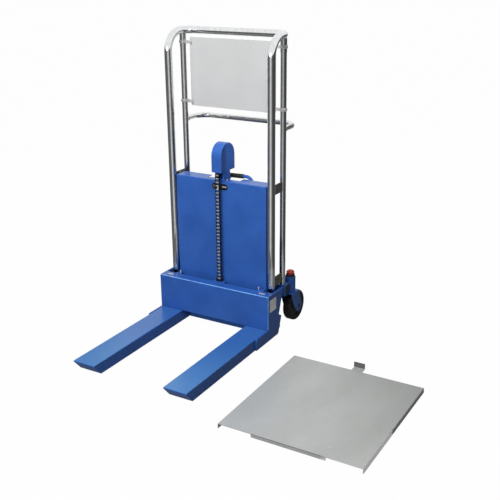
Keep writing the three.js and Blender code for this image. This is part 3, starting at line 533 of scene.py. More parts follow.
# Pale scuffs laid over the bare sheet where a noise is high
scuff = {"color": (0.60, 0.61, 0.61, 1), "noise": (14, 10, 0.8), "from": 0.60, "to": 0.72}
sheetShader = shaderOf(platformSteel)
sheetTone = sheetShader.inputs["Base Color"].links[0].from_node
scuffMask = nodeIn(platformSteel, "MapRange", From_Min=scuff["from"], From_Max=scuff["to"])
scuffMix = nodeIn(platformSteel, "Mix", data_type="RGBA")
scuffMix.inputs[7].default_value = scuff["color"]
wire(pattern(platformSteel, *scuff["noise"]), 0, scuffMask, "Value")
wire(scuffMask, "Result", scuffMix, 0)
wire(sheetTone, "Color", scuffMix, 6)
wire(scuffMix, 2, sheetShader, "Base Color")
print("materials ready")

# Camera at the photograph's place

camera = {"place": (1.54872, -2.80536, 1.69682), "azimuth": 30.13, "elevation": 20.07,
          "roll": -0.46, "lens": 59.09, "sensor": 36}
azimuth, elevation, roll = (radians(camera[key]) for key in ("azimuth", "elevation", "roll"))
back = Vector((sin(azimuth) * cos(elevation), -cos(azimuth) * cos(elevation), sin(elevation)))
side = Vector((cos(azimuth), sin(azimuth), 0))
up = back.cross(side)
right = side * cos(roll) + up * sin(roll)
above = up * cos(roll) - side * sin(roll)
clearSelection()
bpy.ops.object.camera_add(location=camera["place"],
                          rotation=Matrix((right, above, back)).transposed().to_euler())
eye = bpy.context.object
eye.name = "camera"
eye.data.lens = camera["lens"]
eye.data.sensor_width = camera["sensor"]
bpy.context.scene.camera = eye

# The floor and the world show white to the camera, metal and glass; the floor keeps a soft shadow


def seenDirectly(owner, share):  # the share for camera, glossy and transmission rays, else 0
    rays = nodeIn(owner, "LightPath")
    either, anyOf = (nodeIn(owner, "Math", operation="MAXIMUM") for _ in range(2))
    part = nodeIn(owner, "Math", operation="MULTIPLY")
    part.inputs[1].default_value = share
    wire(rays, "Is Camera Ray", either, 0)
    wire(rays, "Is Glossy Ray", either, 1)
    wire(either, 0, anyOf, 0)
    wire(rays, "Is Transmission Ray", anyOf, 1)
    wire(anyOf, 0, part, 0)
    return part


def mixSurface(owner, factor, output, first, second, end="Material Output"):
    mix = nodeIn(owner, "MixShader")
    wire(factor, output, mix, 0)
    wire(first, 0, mix, 1)
    wire(second, 0, mix, 2)
    wire(mix, 0, owner.node_tree.nodes[end], "Surface")


floorPlan = {"size": 60, "tone": (0.35, 0.35, 0.35), "light": (0.37, 0.37, 0.37), "grain": 0.6,
             "glow": 0.985}
floor = added(bpy.ops.mesh.primitive_plane_add, size=floorPlan["size"], location=(0, 0, 0))
floor.name = "floor"
floorPaint = newMaterial("paleFloor", Roughness=0.9)
tint(floorPaint, pattern(floorPaint, floorPlan["grain"]), floorPlan["tone"], floorPlan["light"])
mixSurface(floorPaint, seenDirectly(floorPaint, floorPlan["glow"]), 0, shaderOf(floorPaint),
           nodeIn(floorPaint, "Emission", Strength=1))
floor.data.materials.append(floorPaint)

skyPlan = {"color": (0.97, 0.98, 1.0, 1), "strength": 0.14}
world = bpy.data.worlds.new("studio")
bpy.context.scene.world = world
world.use_nodes = True
skyLight = world.node_tree.nodes["Background"]
skyLight.inputs["Color"].default_value = skyPlan["color"]
skyLight.inputs["Strength"].default_value = skyPlan["strength"]
mixSurface(world, seenDirectly(world, 1), 0, skyLight,
           nodeIn(world, "Background", Color=(1, 1, 1, 1), Strength=1), "World Output")


def addLight(name, kind, place, target, watts, glossy, **settings):
    clearSelection()
    bpy.ops.object.light_add(type=kind, location=place)
    light = bpy.context.object
    light.name = name
    light.data.energy = watts
    for key, value in settings.items():
        setattr(light.data, key, value)
    light.visible_glossy = glossy
    light.rotation_euler = (light.location - Vector(target)).to_track_quat("Z", "Y").to_euler()


addLight("topLight", "AREA", (-0.25, -1.5, 3.4), (-0.1, -0.4, 0.2), 136, False, size=2.0)
addLight("frontLight", "AREA", (-0.45, -3.4, 2.0), (-0.3, 0, 0.6), 61, True, size=1.2)
# A narrow beam for the right side of the wheel's cover
addLight("coverLight", "SPOT", (1.1, 0.36, 1.7), (-0.37, 0.283, 0.835), 112, False,
         spot_size=radians(9), spot_blend=0.4, shadow_soft_size=0.15)

# Cards that only gloss and metal see: a ring round the lift and a mat under it. The ring's tones
# go by the angle from the camera's side, counted towards the picture's right
cards = {"radius": 1.15, "height": 1.42, "sides": 96, "matTone": (0.15, 0.15, 0.15, 1),
         "matLift": 0.0008,
         "tones": ((-180, 0.95), (-149, 0.95), (-136, 0.10), (-75, 0.14), (-42, 0.14), (-30, 0.66),
                   (6, 0.62), (16, 0.34), (30, 0.12), (72, 0.05), (95, 0.06), (120, 0.12),
                   (137, 0.45), (150, 0.95), (180, 0.95))}


def glossOnly(obj, name, material):  # unseen but for its reflection
    obj.name = name
    for ray in ("camera", "diffuse", "shadow", "transmission"):
        setattr(obj, f"visible_{ray}", False)
    obj.data.materials.append(material)


cardPaint = newMaterial("cardTones")
cardPlace = nodeIn(cardPaint, "TexCoord")
centreIt = nodeIn(cardPaint, "Mapping", vector_type="TEXTURE", Location=(middleX, faceY, 0),
                  Rotation=(0, 0, azimuth - pi / 2))
roundIt = nodeIn(cardPaint, "TexGradient", gradient_type="RADIAL")
tones = nodeIn(cardPaint, "ValToRGB")
marks = tones.color_ramp.elements
while len(marks) < len(cards["tones"]):
    marks.new(0.5)
for mark, (degrees, level) in zip(marks, cards["tones"]):
    mark.position = 0.5 + degrees / 360
    mark.color = (level, level, level, 1)
cardGlow = nodeIn(cardPaint, "Emission")
wire(cardPlace, "Object", centreIt, "Vector")
wire(centreIt, "Vector", roundIt, "Vector")
wire(roundIt, "Fac", tones, "Fac")
wire(tones, "Color", cardGlow, "Color")
mixSurface(cardPaint, nodeIn(cardPaint, "NewGeometry"), "Backfacing",
           nodeIn(cardPaint, "BsdfTransparent"), cardGlow)
ringCard = added(bpy.ops.mesh.primitive_cylinder_add, vertices=cards["sides"],
                 radius=cards["radius"], depth=cards["height"], end_fill_type="NOTHING",
                 location=(middleX, faceY, cards["height"] / 2))
glossOnly(ringCard, "studioCards", cardPaint)

matPaint = newMaterial("matTone")
matGlow = nodeIn(matPaint, "Emission", Strength=1, Color=cards["matTone"])
wire(matGlow, "Emission", matPaint.node_tree.nodes["Material Output"], "Surface")
matCard = added(bpy.ops.mesh.primitive_circle_add, vertices=cards["sides"],
                radius=cards["radius"], fill_type="NGON",
                location=(middleX, faceY, cards["matLift"]))
glossOnly(matCard, "studioMat", matPaint)

bpy.context.scene.view_settings.view_transform = "Standard"
print("camera, floor and light ready")

# In the dictionaries below, a box is its half width, front, back, bottom and top; a side is drawn
# as (y, z) points, a plan as (x, y) points and a profile as (radius, height) points

# Chrome mast: the bent front loop, the two rear tubes and the push handle

mast = {"x": 263, "y": 92, "foot": 54.3, "barY": 237, "barZ": 1359, "radius": 17.5, "sides": 32,
        "bends": (90, 45, 45, 90)}
mastX, mastY, barZ = mast["x"], mast["y"], mast["barZ"]
frontTube = bentTube(bothSides([(mastX, mastY, mast["foot"]), (mastX, mastY, barZ),
                                (mastX, mast["barY"], barZ)]),
                     mast["bends"], mast["radius"], mast["sides"])
dress(frontTube, "frontMastTube", "chassis", chromeTube, "front_mast_tube")

rear = {"foot": (260, 207, 215.3), "top": (260, 207, 1348), "radius": 14, "sides": 28,
        "sleeve": ((14, -56), (14.8, -56), (15.2, -55.2), (15.2, 0), (14, 0)),
        "sleeveTop": (260, 207, 1342)}
rearTube = bentTube([rear["foot"], rear["top"]], [], rear["radius"], rear["sides"])
sleeve = turned(rear["sleeve"], rear["sleeveTop"], steps=rear["sides"])
dressPair(joined(rearTube, sleeve), "RearMastTube", "chassis", chromeTube, "rear_mast_tube")

handle = {"start": (260, 219, 953), "back": (260, 340, 953), "radius": 12.5, "bends": (65, 65),
          "welds": ((-260, 221.6, 953), (260, 221.6, 953)), "bead": 1.5}
pushHandle = bentTube(bothSides([handle["start"], handle["back"]]), handle["bends"],
                      handle["radius"])
handleWelds = [weldRing(spot, "Y", handle["radius"], handle["bead"]) for spot in handle["welds"]]
dress(joined(pushHandle, *handleWelds), "pushHandle", "chassis", chromeTube, "push_handle")
print("mast tubes and handle ready")

# Carriage: folded forks, plates and the label's blank place

fork = {"outer": 289.7, "width": 113, "length": 650, "heel": 60, "top": 64, "seat": 63,
        "bottom": 10, "nose": 57, "taper": 610, "sheet": 5, "bend": 4.2, "foldsFrom": 62,
        "noseFrom": -600}
forkOuter, forkTop, forkBottom, forkSeat = (fork[key]
                                            for key in ("outer", "top", "bottom", "seat"))
forkShell = prismX([
    (-fork["length"], forkTop), (-fork["length"], fork["nose"]), (-fork["taper"], forkBottom),
    (fork["heel"], forkBottom), (fork["heel"], forkSeat), (-gap, forkSeat), (-gap, forkTop),
], forkOuter - fork["width"], forkOuter)
folded(forkShell, "bottom back",
       lambda a, b: min(a.z, b.z) > fork["foldsFrom"] and (abs(a.x - b.x) < hair
                                                           or a.y < fork["noseFrom"]),
       fork["bend"], 4, fork["sheet"])
soften(forkShell, *sheetEdge)
# Painted light and sheen: the forks' top faces take the paler blue that brightens towards the tips
for shell in dressPair(forkShell, "Fork", "carriage", bluePaint, "fork"):
    secondFinish(shell, forkSheenPaint, lambda face: face.normal.z > 0.4)

carriage = {"half": 298, "sheet": 6, "side": 8, "top": 229, "bottom": 63.3, "edge": 2.6}
plateTop, plateHalf = carriage["top"], carriage["half"]
frontPlate = soften(wide(plateHalf, 0, carriage["sheet"], carriage["bottom"], plateTop),
                    carriage["edge"], 4)
dress(frontPlate, "carriageFront", "carriage", bluePaint, "carriage_front_plate")
# Painted highlight: the rounded top edge and the ends of the front plate take the paler blue
secondFinish(frontPlate, edgeHighlightPaint, lambda face: abs(face.normal.y) < 0.95 and face.normal.z > -0.3)

topPlan = {"half": ((289.7, 6), (289.7, 52), (241, 52), (241, 72), (215, 72), (215, 52), (30, 52),
                    (30, 76)), "edge": 1}
topPlate = prismZ(bothSides(topPlan["half"]), plateTop - carriage["sheet"], plateTop)
dress(soften(topPlate, topPlan["edge"]), "carriageTop", "carriage", bluePaint,
      "carriage_top_plate")

sidePlan = {"gusset": -107, "corner": 9, "back": 145, "waist": (104, 107), "heel": (129, 92),
            "round": 14, "edge": 1.2,
            "seams": (((289.9, -104, 63), (289.9, -6, 63), 1.9),
                      ((288.6, 10, 221.6), (288.6, 50, 221.6), 2.2))}
corner, underRound = sidePlan["corner"], sidePlan["round"]
behindFront = carriage["sheet"] + gap
sidePlate = prismX([
    (sidePlan["gusset"], forkBottom),
    *arc(sidePlan["gusset"] + corner, forkTop - corner, corner, 180, 90, 6),
    (-gap, forkTop), (-gap, forkSeat), (behindFront, forkSeat), (behindFront, plateTop),
    (sidePlan["back"], plateTop), sidePlan["waist"], sidePlan["heel"],
    *arc(sidePlan["waist"][0] - underRound, forkBottom + underRound, underRound, 0, -90, 6),
], plateHalf - carriage["side"], plateHalf)
soften(sidePlate, sidePlan["edge"])
dressPair(joined(sidePlate, *(weldBead(*seam) for seam in sidePlan["seams"])), "SidePlate",
          "carriage", bluePaint, "side_plate")

label = {"sheet": 0.4, "side": ((15, 147), (15, 207), (75, 207), (75, 147)), "corner": 3}
sticker = prismX(label["side"], plateHalf, plateHalf + label["sheet"])
roundOff(sticker, edgesAlong("X"), label["corner"], 3)
dress(smooth(outward(sticker)), "blankLabel", "carriage", blankLabel)

strap = {"flat": ((236, 20, 229), (268, 29, 231.6)), "peg": ((214, 55, 229), (220, 61, 245))}
dressPair(joined(soften(box(*strap["flat"]), 1, 3), soften(box(*strap["peg"]), 1.6, 3)),
          "ShoeStrap", "carriage", brightZinc)

shoe = {"inner": 241, "front": 57, "back": 112, "height": 32, "hole": 17.8, "slot": (256.5, 266.5),
        "past": 9, "edge": 1.4, "rows": (("upper", 181), ("lower", 75))}
slitNear, slitFar = shoe["slot"]
for row, low in shoe["rows"]:
    high = low + shoe["height"]
    under, over = low - shoe["past"], high + shoe["past"]
    block = box((shoe["inner"], shoe["front"], low), (forkOuter, shoe["back"], high))
    carve(block, stub(shoe["hole"], under, over, (mastX, mastY, 0), "Z", 40),
          box((slitNear, mastY, under), (slitFar, shoe["back"] + shoe["past"], over)))
    dressPair(soften(block, shoe["edge"], 2, 40), f"{row.capitalize()}GuideShoe", "carriage",
              darkNylon, f"{row}_guide_shoe")

clevis = {"foot": [(57, 229.3), (75, 229.3)], "y": 66, "pin": 241.3, "round": 9, "half": 14,
          "mouth": (9.7, 46, 86, 234, 261.3), "pinRadius": 2.9}
clevisSpot = (clevis["y"], clevis["pin"])
clevisBody = prismX(clevis["foot"] + arc(*clevisSpot, clevis["round"], 0, 180, 12),
                    -clevis["half"], clevis["half"])
soften(carve(clevisBody, wide(*clevis["mouth"])))
clevisPin = stub(clevis["pinRadius"], -clevis["half"], clevis["half"], (0, *clevisSpot))
dress(joined(clevisBody, clevisPin), "chainClevis", "carriage", blackSteel, "chain_clevis",
      slot="zinc_plate")
print("carriage ready")

# Mast cover panel, folded from sheet, with its slot and what stands behind it

panel = {"box": (240, 85, 157, 60, 714), "sheet": 2, "bend": 4.2, "sideFrom": 500, "topFrom": 706,
         "notch": (85, 122, 166, 702, 723), "rodSlot": (26, 92, 127, 702, 723),
         "window": (27, 685, 15)}
panelFront = panel["box"][1]
windowX, windowZ, windowRadius = panel["window"]
panelShell = folded(wide(*panel["box"]), "bottom back", lambda a, b: (
    (max(abs(a.y - panelFront), abs(b.y - panelFront)) < 0.01 and max(a.z, b.z) > panel["sideFrom"])
    or (min(a.z, b.z) > panel["topFrom"] and abs(a.x - b.x) < hair)), panel["bend"], 5,
    panel["sheet"])
windowEnds = (arc(windowX, windowZ, windowRadius, -90, 90, 10)
              + arc(-windowX, windowZ, windowRadius, 90, 270, 10))
carve(panelShell, wide(*panel["notch"]), wide(*panel["rodSlot"]),
      prismY(windowEnds, panelFront - 5, panelFront + 9))
dress(evenOut(panelShell), "mastPanel", "chassis", bluePaint, "mast_panel")

ramY, wheelZ = 110, 826
holder = {"box": (58, 88.5, 93.5, 662, 701), "bore": (26.4, 600, 760),
          "bolt": (-33, 88.5, 685, 8, 3.2, "Y", -1), "pin": (2.3, 13, 34, (0, 85.8, 686))}
holderPlate = carve(wide(*holder["box"]), stub(*holder["bore"], (0, ramY, 0), "Z", 40))
dress(soften(holderPlate), "ramHolder", "chassis", blackSteel)
dress(hexBolt(*holder["bolt"]), "holderBolt", "chassis", agedZinc)
# The slot pin's near-white finish is a painted glint
dress(stub(*holder["pin"]), "slotPin", "chassis", glintPinPaint)

# Guard screen and its clamps, and the plates that tie the mast's tubes

screen = {"box": (222, 205, 209, 1020, 1330), "corner": 6, "edge": 0.6}
screenSheet = roundOff(wide(*screen["box"]), edgesAlong("Y"), screen["corner"], 6)
dress(soften(screenSheet, screen["edge"], 2, 60), "guardScreen", "chassis", greyScreen,
      "guard_screen")

clamp = {"x": 260, "y": 207, "rows": (("upper", 1308), ("lower", 1040)), "half": 7,
         "ring": ((14.2, -7), (16.3, -7), (17.3, -6)), "tongue": ((210, 201.1), (245.8, 204.7)),
         "screw": (216, 201.1)}
tongueNear, tongueFar = clamp["tongue"]
for row, z in clamp["rows"]:
    ring = turned(balanced(clamp["ring"]), (clamp["x"], clamp["y"], z), steps=28)
    tongue = soften(box((*tongueNear, z - clamp["half"]), (*tongueFar, z + clamp["half"])))
    screw = hexBolt(*clamp["screw"], z, 7, 4.2, "Y", -1)
    dressPair(joined(ring, tongue, screw), f"{row.capitalize()}Clamp", "chassis", brightZinc,
              f"{row}_screen_clamp")

tie = {"plan": ((259, 109.8), (264, 109.8), (264, 192.7), (259, 192.7), (259, 133), (240.3, 133),
                (240.3, 128), (259, 128)), "half": 23, "edge": 0.9, "inset": 3,
       "welds": ((264, 109.8), (264, 192.7)), "bolt": (248.5, 133), "boltRows": (11, -11),
       "rows": (("upper", 694, tieZinc), ("lower", 255, agedZinc))}
for row, z, tieFinish in tie["rows"]:
    low, high = z - tie["half"], z + tie["half"]
    flat = soften(prismZ(tie["plan"], low, high), tie["edge"])
    details = [uprightBead(*spot, low + tie["inset"], high - tie["inset"]) for spot in tie["welds"]]
    details += [hexBolt(*tie["bolt"], z + lift, 8, 5, "Y") for lift in tie["boltRows"]]
    dressPair(joined(flat, *details), f"{row.capitalize()}TiePlate", "chassis", tieFinish,
              f"{row}_tie_plate")
print("panel, screen and ties ready")

# Ram: cylinder, gland, rod, yoke, chain wheel and cover

ram = {"cylinder": ((0, 54.3), (21, 54.3), (21, 688.6), (20, 690), (16, 690), (16, 66.3),
                    (0, 66.3)),
       "gland": ((21.3, 679), (25, 679), (26, 680), (26, 692.3), (25, 693.3), (21.5, 693.3),
                 (21, 693.8), (21, 701.3), (20, 702.3), (14.8, 702.3), (12.8, 700.7),
                 (12.8, 690.3), (21.3, 690.3)),
       "rod": ((0, 70), (15.7, 70), (15.7, 94), (12.5, 94), (12.5, 714), (11.5, 715), (0, 715))}
dress(turned(ram["cylinder"], (0, ramY, 0), steps=36), "ramCylinder", "chassis", blackSteel,
      "ram_cylinder")
# The gland takes the black steel finish as painted shade: it stands inside the panel's slot, where
# it shows dark
dress(turned(ram["gland"], (0, ramY, 0), steps=36), "ramGland", "chassis", blackSteel, "ram_gland",
      slot="zinc_plate")
dress(turned(ram["rod"], (0, ramY, 0)), "ramRod", "ram", polishedRod, "ram_rod")

yoke = {"side": ((82, 715.3), (146, 715.3), (137, 755.3), (127, 844), (93, 844)),
        "front": ((-26, 715.3), (26, 715.3), (20, 755.3), (20, 844), (-20, 844), (-20, 755.3)),
        "half": 40, "depth": (60, 170), "mouth": (15, 40, 190, 723.3, 853),
        "bore": (8.3, -30, 30), "edge": 1.3}
wheelSpot = (0, ramY, wheelZ)
yokeBody = carve(prismX(yoke["side"], -yoke["half"], yoke["half"]),
                 prismY(yoke["front"], *yoke["depth"]), operation="INTERSECT")
carve(yokeBody, wide(*yoke["mouth"]), stub(*yoke["bore"], wheelSpot, steps=24))
dress(soften(yokeBody, yoke["edge"], 3), "wheelYoke", "ram", bluePaint, "wheel_yoke")

wheel = {"profile": ((8.3, -14), (47, -14), (48, -13.2), (47, -12), (36.9, -11)),
         "hole": (6, -20, 20), "holeReach": 23, "holes": 5,
         "axle": ((0, -23.7), (7.2, -23.7), (8, -22.9), (8, -21.9), (9.6, -21.9), (9.6, -20.5),
                  (8, -20.5))}
chainWheel = turned(balanced(wheel["profile"]), wheelSpot, "X")
hole = stub(*wheel["hole"], (0, ramY + wheel["holeReach"], wheelZ))
otherHoles = [copyOf(hole, turnAbout(wheelSpot, "X", 360 / wheel["holes"] * i))
              for i in range(1, wheel["holes"])]
carve(chainWheel, hole, *otherHoles)
dress(smooth(chainWheel), "chainWheel", "chain_wheel", blackSteel, "chain_wheel")
dress(turned(balanced(wheel["axle"]), wheelSpot, "X", 24), "wheelAxle", "ram", zincPlate,
      "wheel_axle")

cover = {"y": 117, "radius": 60, "half": 26, "bottom": 757, "edge": 3, "sheet": 2}
coverY, radius, bottom = cover["y"], cover["radius"], cover["bottom"]
coverShell = prismX([(coverY + radius, bottom), *arc(coverY, wheelZ, radius, 0, 180, 40),
                     (coverY - radius, bottom)], -cover["half"], cover["half"])
folded(coverShell, "bottom", lambda a, b: abs(a.x - b.x) < hair and max(a.z, b.z) > bottom + 1,
       cover["edge"], 4, cover["sheet"])
dress(evenOut(coverShell), "wheelCover", "ram", bluePaint, "wheel_cover")
print("ram and cover ready")

# Roller chain: rollers, inner and outer links, in a run before the ram, one behind it and the
# turn over the wheel between them. A roller or pin is its radius, half length and sides

chain = {"roller": (5.2, 8, 14), "pin": (2.6, 11.4, 10), "end": 5.9, "waist": 4.1,
         "inner": (8.1, 9.3), "outer": (9.5, 10.7), "links": 35, "pitchRadius": 44,
         "turnLinks": 9}


def linkPlates(y, z, pitch, spread):  # a pair of waisted side plates between two pins
    shape = (arc(y, z, chain["end"], 145, 395, 6) + [(y + chain["waist"], z + pitch / 2)]
             + arc(y, z + pitch, chain["end"], -35, 215, 6) + [(y - chain["waist"], z + pitch / 2)])
    near, far = spread
    return joined(prismX(shape, near, far), prismX(shape, -far, -near))


def barAt(kind, y, z):
    r, half, sides = chain[kind]
    return turned(balanced([(0, -half), (r - 0.5, -half), (r, 0.5 - half)]), (0, y, z), "X", sides)


def chainRun(y, low, high):
    links = chain["links"]
    pitch = (high - low) / links
    inner = repeated(linkPlates(y, low, pitch, chain["inner"]), (links + 1) // 2, (0, 0, 2 * pitch))
    outer = repeated(linkPlates(y, low + pitch, pitch, chain["outer"]), links // 2,
                     (0, 0, 2 * pitch))
    pins = repeated(barAt("pin", y, low + pitch), links - 1, (0, 0, pitch))
    rollers = repeated(barAt("roller", y, low), links + 1, (0, 0, pitch))
    return smooth(joined(inner, outer, pins)), smooth(rollers)


frontY, rearY = ramY - chain["pitchRadius"], ramY + chain["pitchRadius"]
anchorPinZ = 232
for name, y, low, body in (("front", frontY, clevis["pin"], "carriage"),
                           ("rear", rearY, anchorPinZ, "chassis")):
    plates, rollers = chainRun(y, low, wheelZ)
    dress(plates, f"{name}ChainPlates", None, chainSteel, f"{name}_chain")
    dress(rollers, f"{name}ChainRollers", None, rollerSteel)
    for part in (plates, rollers):
        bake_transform(part)

turnStep = 180 / chain["turnLinks"]
turnPitch = 2 * chain["pitchRadius"] * sin(radians(turnStep / 2))
arcPlates, arcRollers = [], []
for i in range(chain["turnLinks"]):
    spread = chain["inner"] if i % 2 else chain["outer"]
    plates = linkPlates(frontY, wheelZ, turnPitch, spread)
    plates.data.transform(turnAbout((0, frontY, wheelZ), "X", -turnStep / 2))
    plates.data.transform(turnAbout(wheelSpot, "X", -turnStep * i))
    arcPlates.append(plates)
    if i:
        roller = barAt("roller", frontY, wheelZ)
        roller.data.transform(turnAbout(wheelSpot, "X", -turnStep * i))
        arcRollers.append(roller)
dress(smooth(joined(*arcPlates)), "turnChainPlates", "ram", chainSteel, "chain_over_wheel")
dress(joined(*arcRollers), "turnChainRollers", "ram", rollerSteel)

anchor = {"side": ((148, 205), (189.7, 205), (189.7, 215), (166, 215), (160, 225), (148, 225)),
          "half": 14, "edge": 1.1, "ear": [(148, 223), (160, 223)], "earRound": 6,
          "earFrom": 11.4, "earTo": 13.8, "earEdge": 0.5, "pin": (2.9, -16, 16),
          "bolt": (0, 178, 215, 13, 8)}
anchorBody = soften(prismX(anchor["side"], -anchor["half"], anchor["half"]), anchor["edge"])
earShape = anchor["ear"] + arc(rearY, anchorPinZ, anchor["earRound"], 0, 180, 10)
ears = [soften(prismX(earShape, *sides), anchor["earEdge"])
        for sides in ((anchor["earFrom"], anchor["earTo"]), (-anchor["earTo"], -anchor["earFrom"]))]
anchorPin = stub(*anchor["pin"], (0, rearY, anchorPinZ), steps=14)
dress(joined(anchorBody, *ears, anchorPin, hexBolt(*anchor["bolt"])), "chainAnchor", "chassis",
      zincPlate, "chain_anchor")
print("chain ready")

# Legs, load rollers, cross member and rear beam

leg = {"low": (187.2, -600, 18), "high": (279.2, 150, 54), "sheet": 4, "bend": 3.2,
       "roller": (233.2, -560, 24),
       "pin": ((0, 183.6), (8, 183.6), (9, 184.4), (9, 187.2), (6, 187.2), (6, 279.2), (9, 279.2),
               (9, 282), (8, 282.8), (0, 282.8)),
       "wheel": ((6.3, -30), (10, -30), (11, -28), (20, -28), (21.5, -30), (22.6, -30),
                 (24, -28.6))}
legTop, legFront = leg["high"][2] - 0.01, leg["low"][1] + 0.01
legShell = folded(box(leg["low"], leg["high"]), "bottom back",
                  lambda a, b: min(a.z, b.z) > legTop and (abs(a.x - b.x) < hair
                                                           or max(a.y, b.y) < legFront),
                  leg["bend"], 4, leg["sheet"])
soften(legShell, *sheetEdge)
rollerX, rollerY, rollerZ = leg["roller"]
rollerPin = turned(leg["pin"], (0, rollerY, rollerZ), "X", 20)
dressPair(joined(legShell, rollerPin), "Leg", "chassis", bluePaint, "leg")
dressPair(turned(balanced(leg["wheel"]), leg["roller"], "X"), "LoadRoller", "roller", blackSteel,
          "load_roller")

cross = {"box": (186.9, 66, 140, 18, 54), "lip": (186.9, 66, 69.6, 9, 19), "weldX": (-187, 187),
         "weldY": (72, 134), "weldZ": 53.4}
crossShell = folded(wide(*cross["box"]), "bottom left right",
                    lambda a, b: min(a.z, b.z) > legTop and abs(a.y - b.y) < hair,
                    leg["bend"], 4, leg["sheet"])
soften(crossShell, *sheetEdge)
crossLip = soften(wide(*cross["lip"]), 0.5)
weldFront, weldBack = cross["weldY"]
crossWelds = [weldBead((x, weldFront, cross["weldZ"]), (x, weldBack, cross["weldZ"]))
              for x in cross["weldX"]]
dress(joined(crossShell, crossLip, *crossWelds), "crossMember", "chassis", bluePaint,
      "cross_member")

beam = {"box": (284, 190, 244.7, 160, 215), "sheet": 5, "corner": 6,
        "side": ((98, 54.3), (150, 54.3), (172, 160), (192.5, 160), (192.5, 215), (150, 215),
                 (98, 160)), "stay": (188, 196),
        "welds": ((187.6, 190, 168, 207), (196.4, 190, 168, 207), (270, 245.1, 166, 209, 2.6)),
        "footWeld": ((196.4, 102, 55), (196.4, 146, 55)),
        "pedal": (262, 175), "lug": (5.6, 11.6), "lugRound": 11, "lugRoot": 242.2,
        "lever": (178, 232), "leverLug": (127.8, 133.8), "leverRound": 12,
        "leverRoot": [(190, 212.5), (214, 212.5)], "pin": 5,
        "leverPin": ((0, 107.6), (7, 107.6), (7, 110), (5, 110), (5, 132), (0, 132)),
        "cap": ((277, 195.2, 165.2), (283.4, 239.5, 209.8))}
beamShell = evenOut(folded(wide(*beam["box"]), "left right", edgesAlong("X"), beam["corner"], 5,
                           beam["sheet"]))
rightSide = joined(soften(prismX(beam["side"], *beam["stay"]), 1),
                   *(uprightBead(*spot) for spot in beam["welds"]), weldBead(*beam["footWeld"]))
leftSide = mirrored(rightSide)
pedalY, pedalZ = beam["pedal"]
pedalLug = soften(prismX([(beam["lugRoot"], pedalZ - beam["lugRound"]),
                          *arc(pedalY, pedalZ, beam["lugRound"], -90, 90, 12),
                          (beam["lugRoot"], pedalZ + beam["lugRound"])], *beam["lug"]))
otherLug = mirrored(pedalLug)
leverLug = soften(prismX(beam["leverRoot"] + arc(*beam["lever"], beam["leverRound"], 50, 270, 14),
                         *beam["leverLug"]))
lugEnd, leverLugEnd = beam["lug"][1], beam["leverLug"][1]
pins = [stub(beam["pin"], -lugEnd, lugEnd, (0, pedalY, pedalZ), steps=18),
        turned(beam["leverPin"], (0, *beam["lever"]), "X", 18)]
heads = [hexBolt(lugEnd, pedalY, pedalZ, 10, 6, "X"),
         hexBolt(-lugEnd, pedalY, pedalZ, 10, 6, "X", -1),
         hexBolt(leverLugEnd, *beam["lever"], 10, 6, "X")]
dress(joined(beamShell, rightSide, leftSide, pedalLug, otherLug, leverLug), "rearBeam", "chassis",
      bluePaint, "rear_beam")
dress(joined(*pins, *heads), "beamPins", "chassis", zincPlate)
# The beam's end caps are dark nylon, kept dark also as painted shade at the beam's ends
dressPair(soften(box(*beam["cap"]), 2, 3), "BeamCap", "chassis", darkNylon)
print("legs and beam ready")

# Pump, plunger, spring and pedal

pump = {"tank": (38, 131.3, 306, 54.3, 104), "corner": 9, "head": (30, 262, 306, 102, 120),
        "headCorner": 7, "bore": (9.3, 102, 138), "valve": ((8, 150, 102), (38, 186, 120)),
        "boss": ((0, 102), (14, 102), (14, 108), (12.6, 109.4), (0, 109.4)),
        "bossAt": (-16, 220, 0),
        "bolts": ((-16, 220, 109.4, 14, 9), (38, 168, 110, 11, 7, "X"), (26, 236, 104, 9, 6),
                  (-28, 150, 104, 9, 6), (-28, 250, 104, 9, 6), (26, 204, 104, 9, 6),
                  (38, 284, 86, 12, 8, "X"), (-38, 284, 86, 12, 8, "X", -1)),
        "nipple": ((2.8, 0), (5.6, 0), (5.6, 5), (4.4, 6.2), (4.4, 10), (2.8, 10)),
        "nippleAt": (26, 165, 120), "plungerAt": (0, 290, 0),
        "plunger": ((0, 100), (8.4, 100), (9, 100.6), (9, 150.7), (14, 150.7), (15, 151.7),
                    (15, 156.4), (13.6, 157.7), (0, 157.7))}
tank = soften(roundOff(wide(*pump["tank"]), edgesAlong("Z"), pump["corner"], 4), 1.6, 3)
head = roundOff(wide(*pump["head"]), edgesAlong("Z"), pump["headCorner"], 4)
soften(carve(head, stub(*pump["bore"], pump["plungerAt"], "Z", 28)), 1.2, 2, 40)
valve = soften(box(*pump["valve"]), 2.4, 3)
boss = turned(pump["boss"], pump["bossAt"], steps=28)
dress(joined(tank, head, valve, boss), "pumpBody", "chassis", bluePaint, "pump_body")
dress(joined(*(hexBolt(*spot) for spot in pump["bolts"]),
             turned(pump["nipple"], pump["nippleAt"], steps=18)), "pumpFittings", "chassis",
      zincPlate)
dress(turned(pump["plunger"], pump["plungerAt"], steps=32), "pumpPlunger", "plunger", polishedRod,
      "pump_plunger")

spring = {"wire": 1.5, "radius": 12.5, "turns": 4, "low": 120.3, "high": 150.4}
coil = added(bpy.ops.mesh.primitive_circle_add, vertices=10, radius=spring["wire"] * mm,
             fill_type="NGON", location=(spring["radius"] * mm, 0, 0), rotation=(pi / 2, 0, 0))
rise = (spring["high"] - spring["low"] - 2 * spring["wire"]) * mm
applyModifier(coil, "SCREW", angle=2 * pi, screw_offset=rise / spring["turns"],
              iterations=spring["turns"], steps=24, axis="Z", use_merge_vertices=False)
plungerY = pump["plungerAt"][1]
coil.data.transform(Matrix.Translation(at(0, plungerY, spring["low"] + spring["wire"])))
dress(smooth(outward(coil), 60), "plungerSpring", None, chainSteel, "plunger_spring")
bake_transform(coil)

